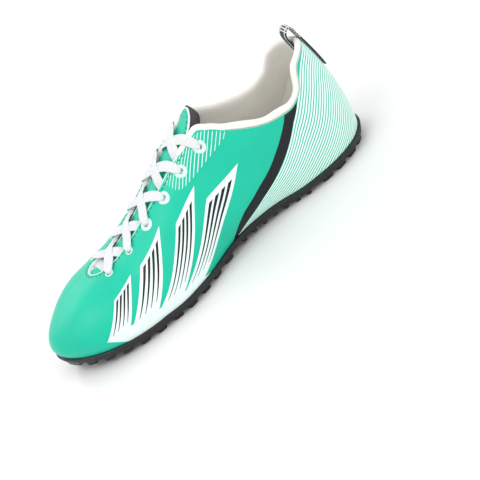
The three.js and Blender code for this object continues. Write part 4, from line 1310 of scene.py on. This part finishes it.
def tongue_stitch_form():
    x = mix(FACE_START + 2.4, 160.0, np.linspace(0, 1, 80) ** 1.6)
    half = np.maximum(face_half(x) - 2.6, 0.0)
    half[0] = 0
    line = both_edges(x, tongue_middle(x) - centre(x), half)
    return stitches(line, -FACE_DEPTH + 0.22, curl)


piece("tongue_stitches", tongue_stitch_form(), [thread], (), 60)


def binding_form():
    """Pale rolled edge round the tongue's face."""
    x = mix(FACE_START, FACE_END, np.linspace(0, 1, 120) ** 2.2)
    line = both_edges(x, tongue_middle(x), face_half(x) - 0.1)
    p, n = face(line[:, 0], line[:, 1])
    path = p - n * (FACE_DEPTH + 0.45 - curl(line[:, 0]))[:, None]
    across = np.cross(n, unit(np.gradient(path, axis=0)))
    c, s = circle(10)
    wide, high = 0.85 * across, 0.65 * n
    return Form().tube(path[:, None] + c[:, None] * wide[:, None] + s[:, None] * high[:, None])


piece("tongue_binding", binding_form(), [cut_edge], (), 60)


def throat_edge_form():
    """Pale cut edge that shows beside the throat."""
    line = throat_line(0.0)
    out = throat_line(0.75)
    p0, n0 = face(line[:, 0], line[:, 1])
    p1, n1 = face(out[:, 0], out[:, 1])
    top = np.stack([p0 - 0.1 * n0, 0.5 * (p0 + p1) + 0.16 * n0, p1 + 0.10 * n1], 1)
    under = np.stack([p0 - 0.5 * n0, 0.5 * (p0 + p1) - 0.3 * n0, p1 - 0.2 * n1], 1)
    return Form().sheet(top, under)


piece("throat_edge", throat_edge_form(), [cut_edge], (), 60)


# Floor, lights and camera
def floor():
    mesh = bpy.data.meshes.new("studio_floor")
    far = 6.0
    corners = [(-far, -far, 0), (far, -far, 0), (far, far, 0), (-far, far, 0)]
    mesh.from_pydata(corners, [], [(0, 1, 2, 3)])
    paint = Paint("studio_white", (0.885, 0.885, 0.885), 0.32, Specular_IOR_Level=0.35)
    paint.rough(paint.remap(paint.noise(3.0), 0.3, 0.7, 0.3, 0.36))
    mesh.materials.append(paint.material)
    placed("studio_floor", mesh)


def aimed(place, target):
    """Rotation that turns an object at place to look at target, both in metres."""
    back = unit(np.array(place, float) - np.array(target, float))
    right = unit(np.cross([0, 0, 1.0], back))
    return Matrix([[right[i], np.cross(back, right)[i], back[i]] for i in range(3)]).to_4x4()


def lamp(name, place, width, height, power):
    """Rectangular light in metres and watts, aimed at the shoe."""
    data = bpy.data.lights.new(name, "AREA")
    data.shape, data.size, data.size_y = "RECTANGLE", width, height
    data.energy = power
    placed(name, data).matrix_world = Matrix.Translation(place) @ aimed(place, (0, 0, 0.05))


def world():
    made = bpy.data.worlds.new("studio")
    made.use_nodes = True
    sky = made.node_tree.nodes["Background"]
    sky.inputs["Color"].default_value = (1.0, 1.0, 1.0, 1)
    sky.inputs["Strength"].default_value = 0.90
    bpy.context.scene.world = made


CAMERA_RIGHT = (-0.75976661, 0.39397305, -0.51724263)
CAMERA_DOWN = (0.64033027, 0.31532507, -0.70039078)
CAMERA_AHEAD = (-0.11283552, -0.86333964, -0.49184632)
CAMERA_PLACE = (258.183, 1025.620, 575.661)
SENSOR, LENS = 36.0, 120.0


def camera():
    data = bpy.data.cameras.new("photo_camera")
    data.sensor_width = data.sensor_height = SENSOR
    data.lens = LENS
    data.clip_end = 50
    obj = placed("photo_camera", data)
    place = (np.array(CAMERA_PLACE) + SHIFT) * MM
    axes = np.stack([CAMERA_RIGHT, -np.array(CAMERA_DOWN), -np.array(CAMERA_AHEAD)], 1)
    obj.matrix_world = Matrix.Translation(place) @ Matrix(axes.tolist()).to_4x4()
    bpy.context.scene.camera = obj


bpy.context.scene.view_settings.view_transform = "Standard"
floor()
world()
camera()
lamp("key", (0.9, 0.5, 1.5), 1.2, 1.2, 9.0)
lamp("rim", (0.6, -1.2, 1.1), 1.4, 0.8, 5.0)
lamp("fill", (-1.0, 1.2, 0.9), 1.4, 1.0, 6.8)
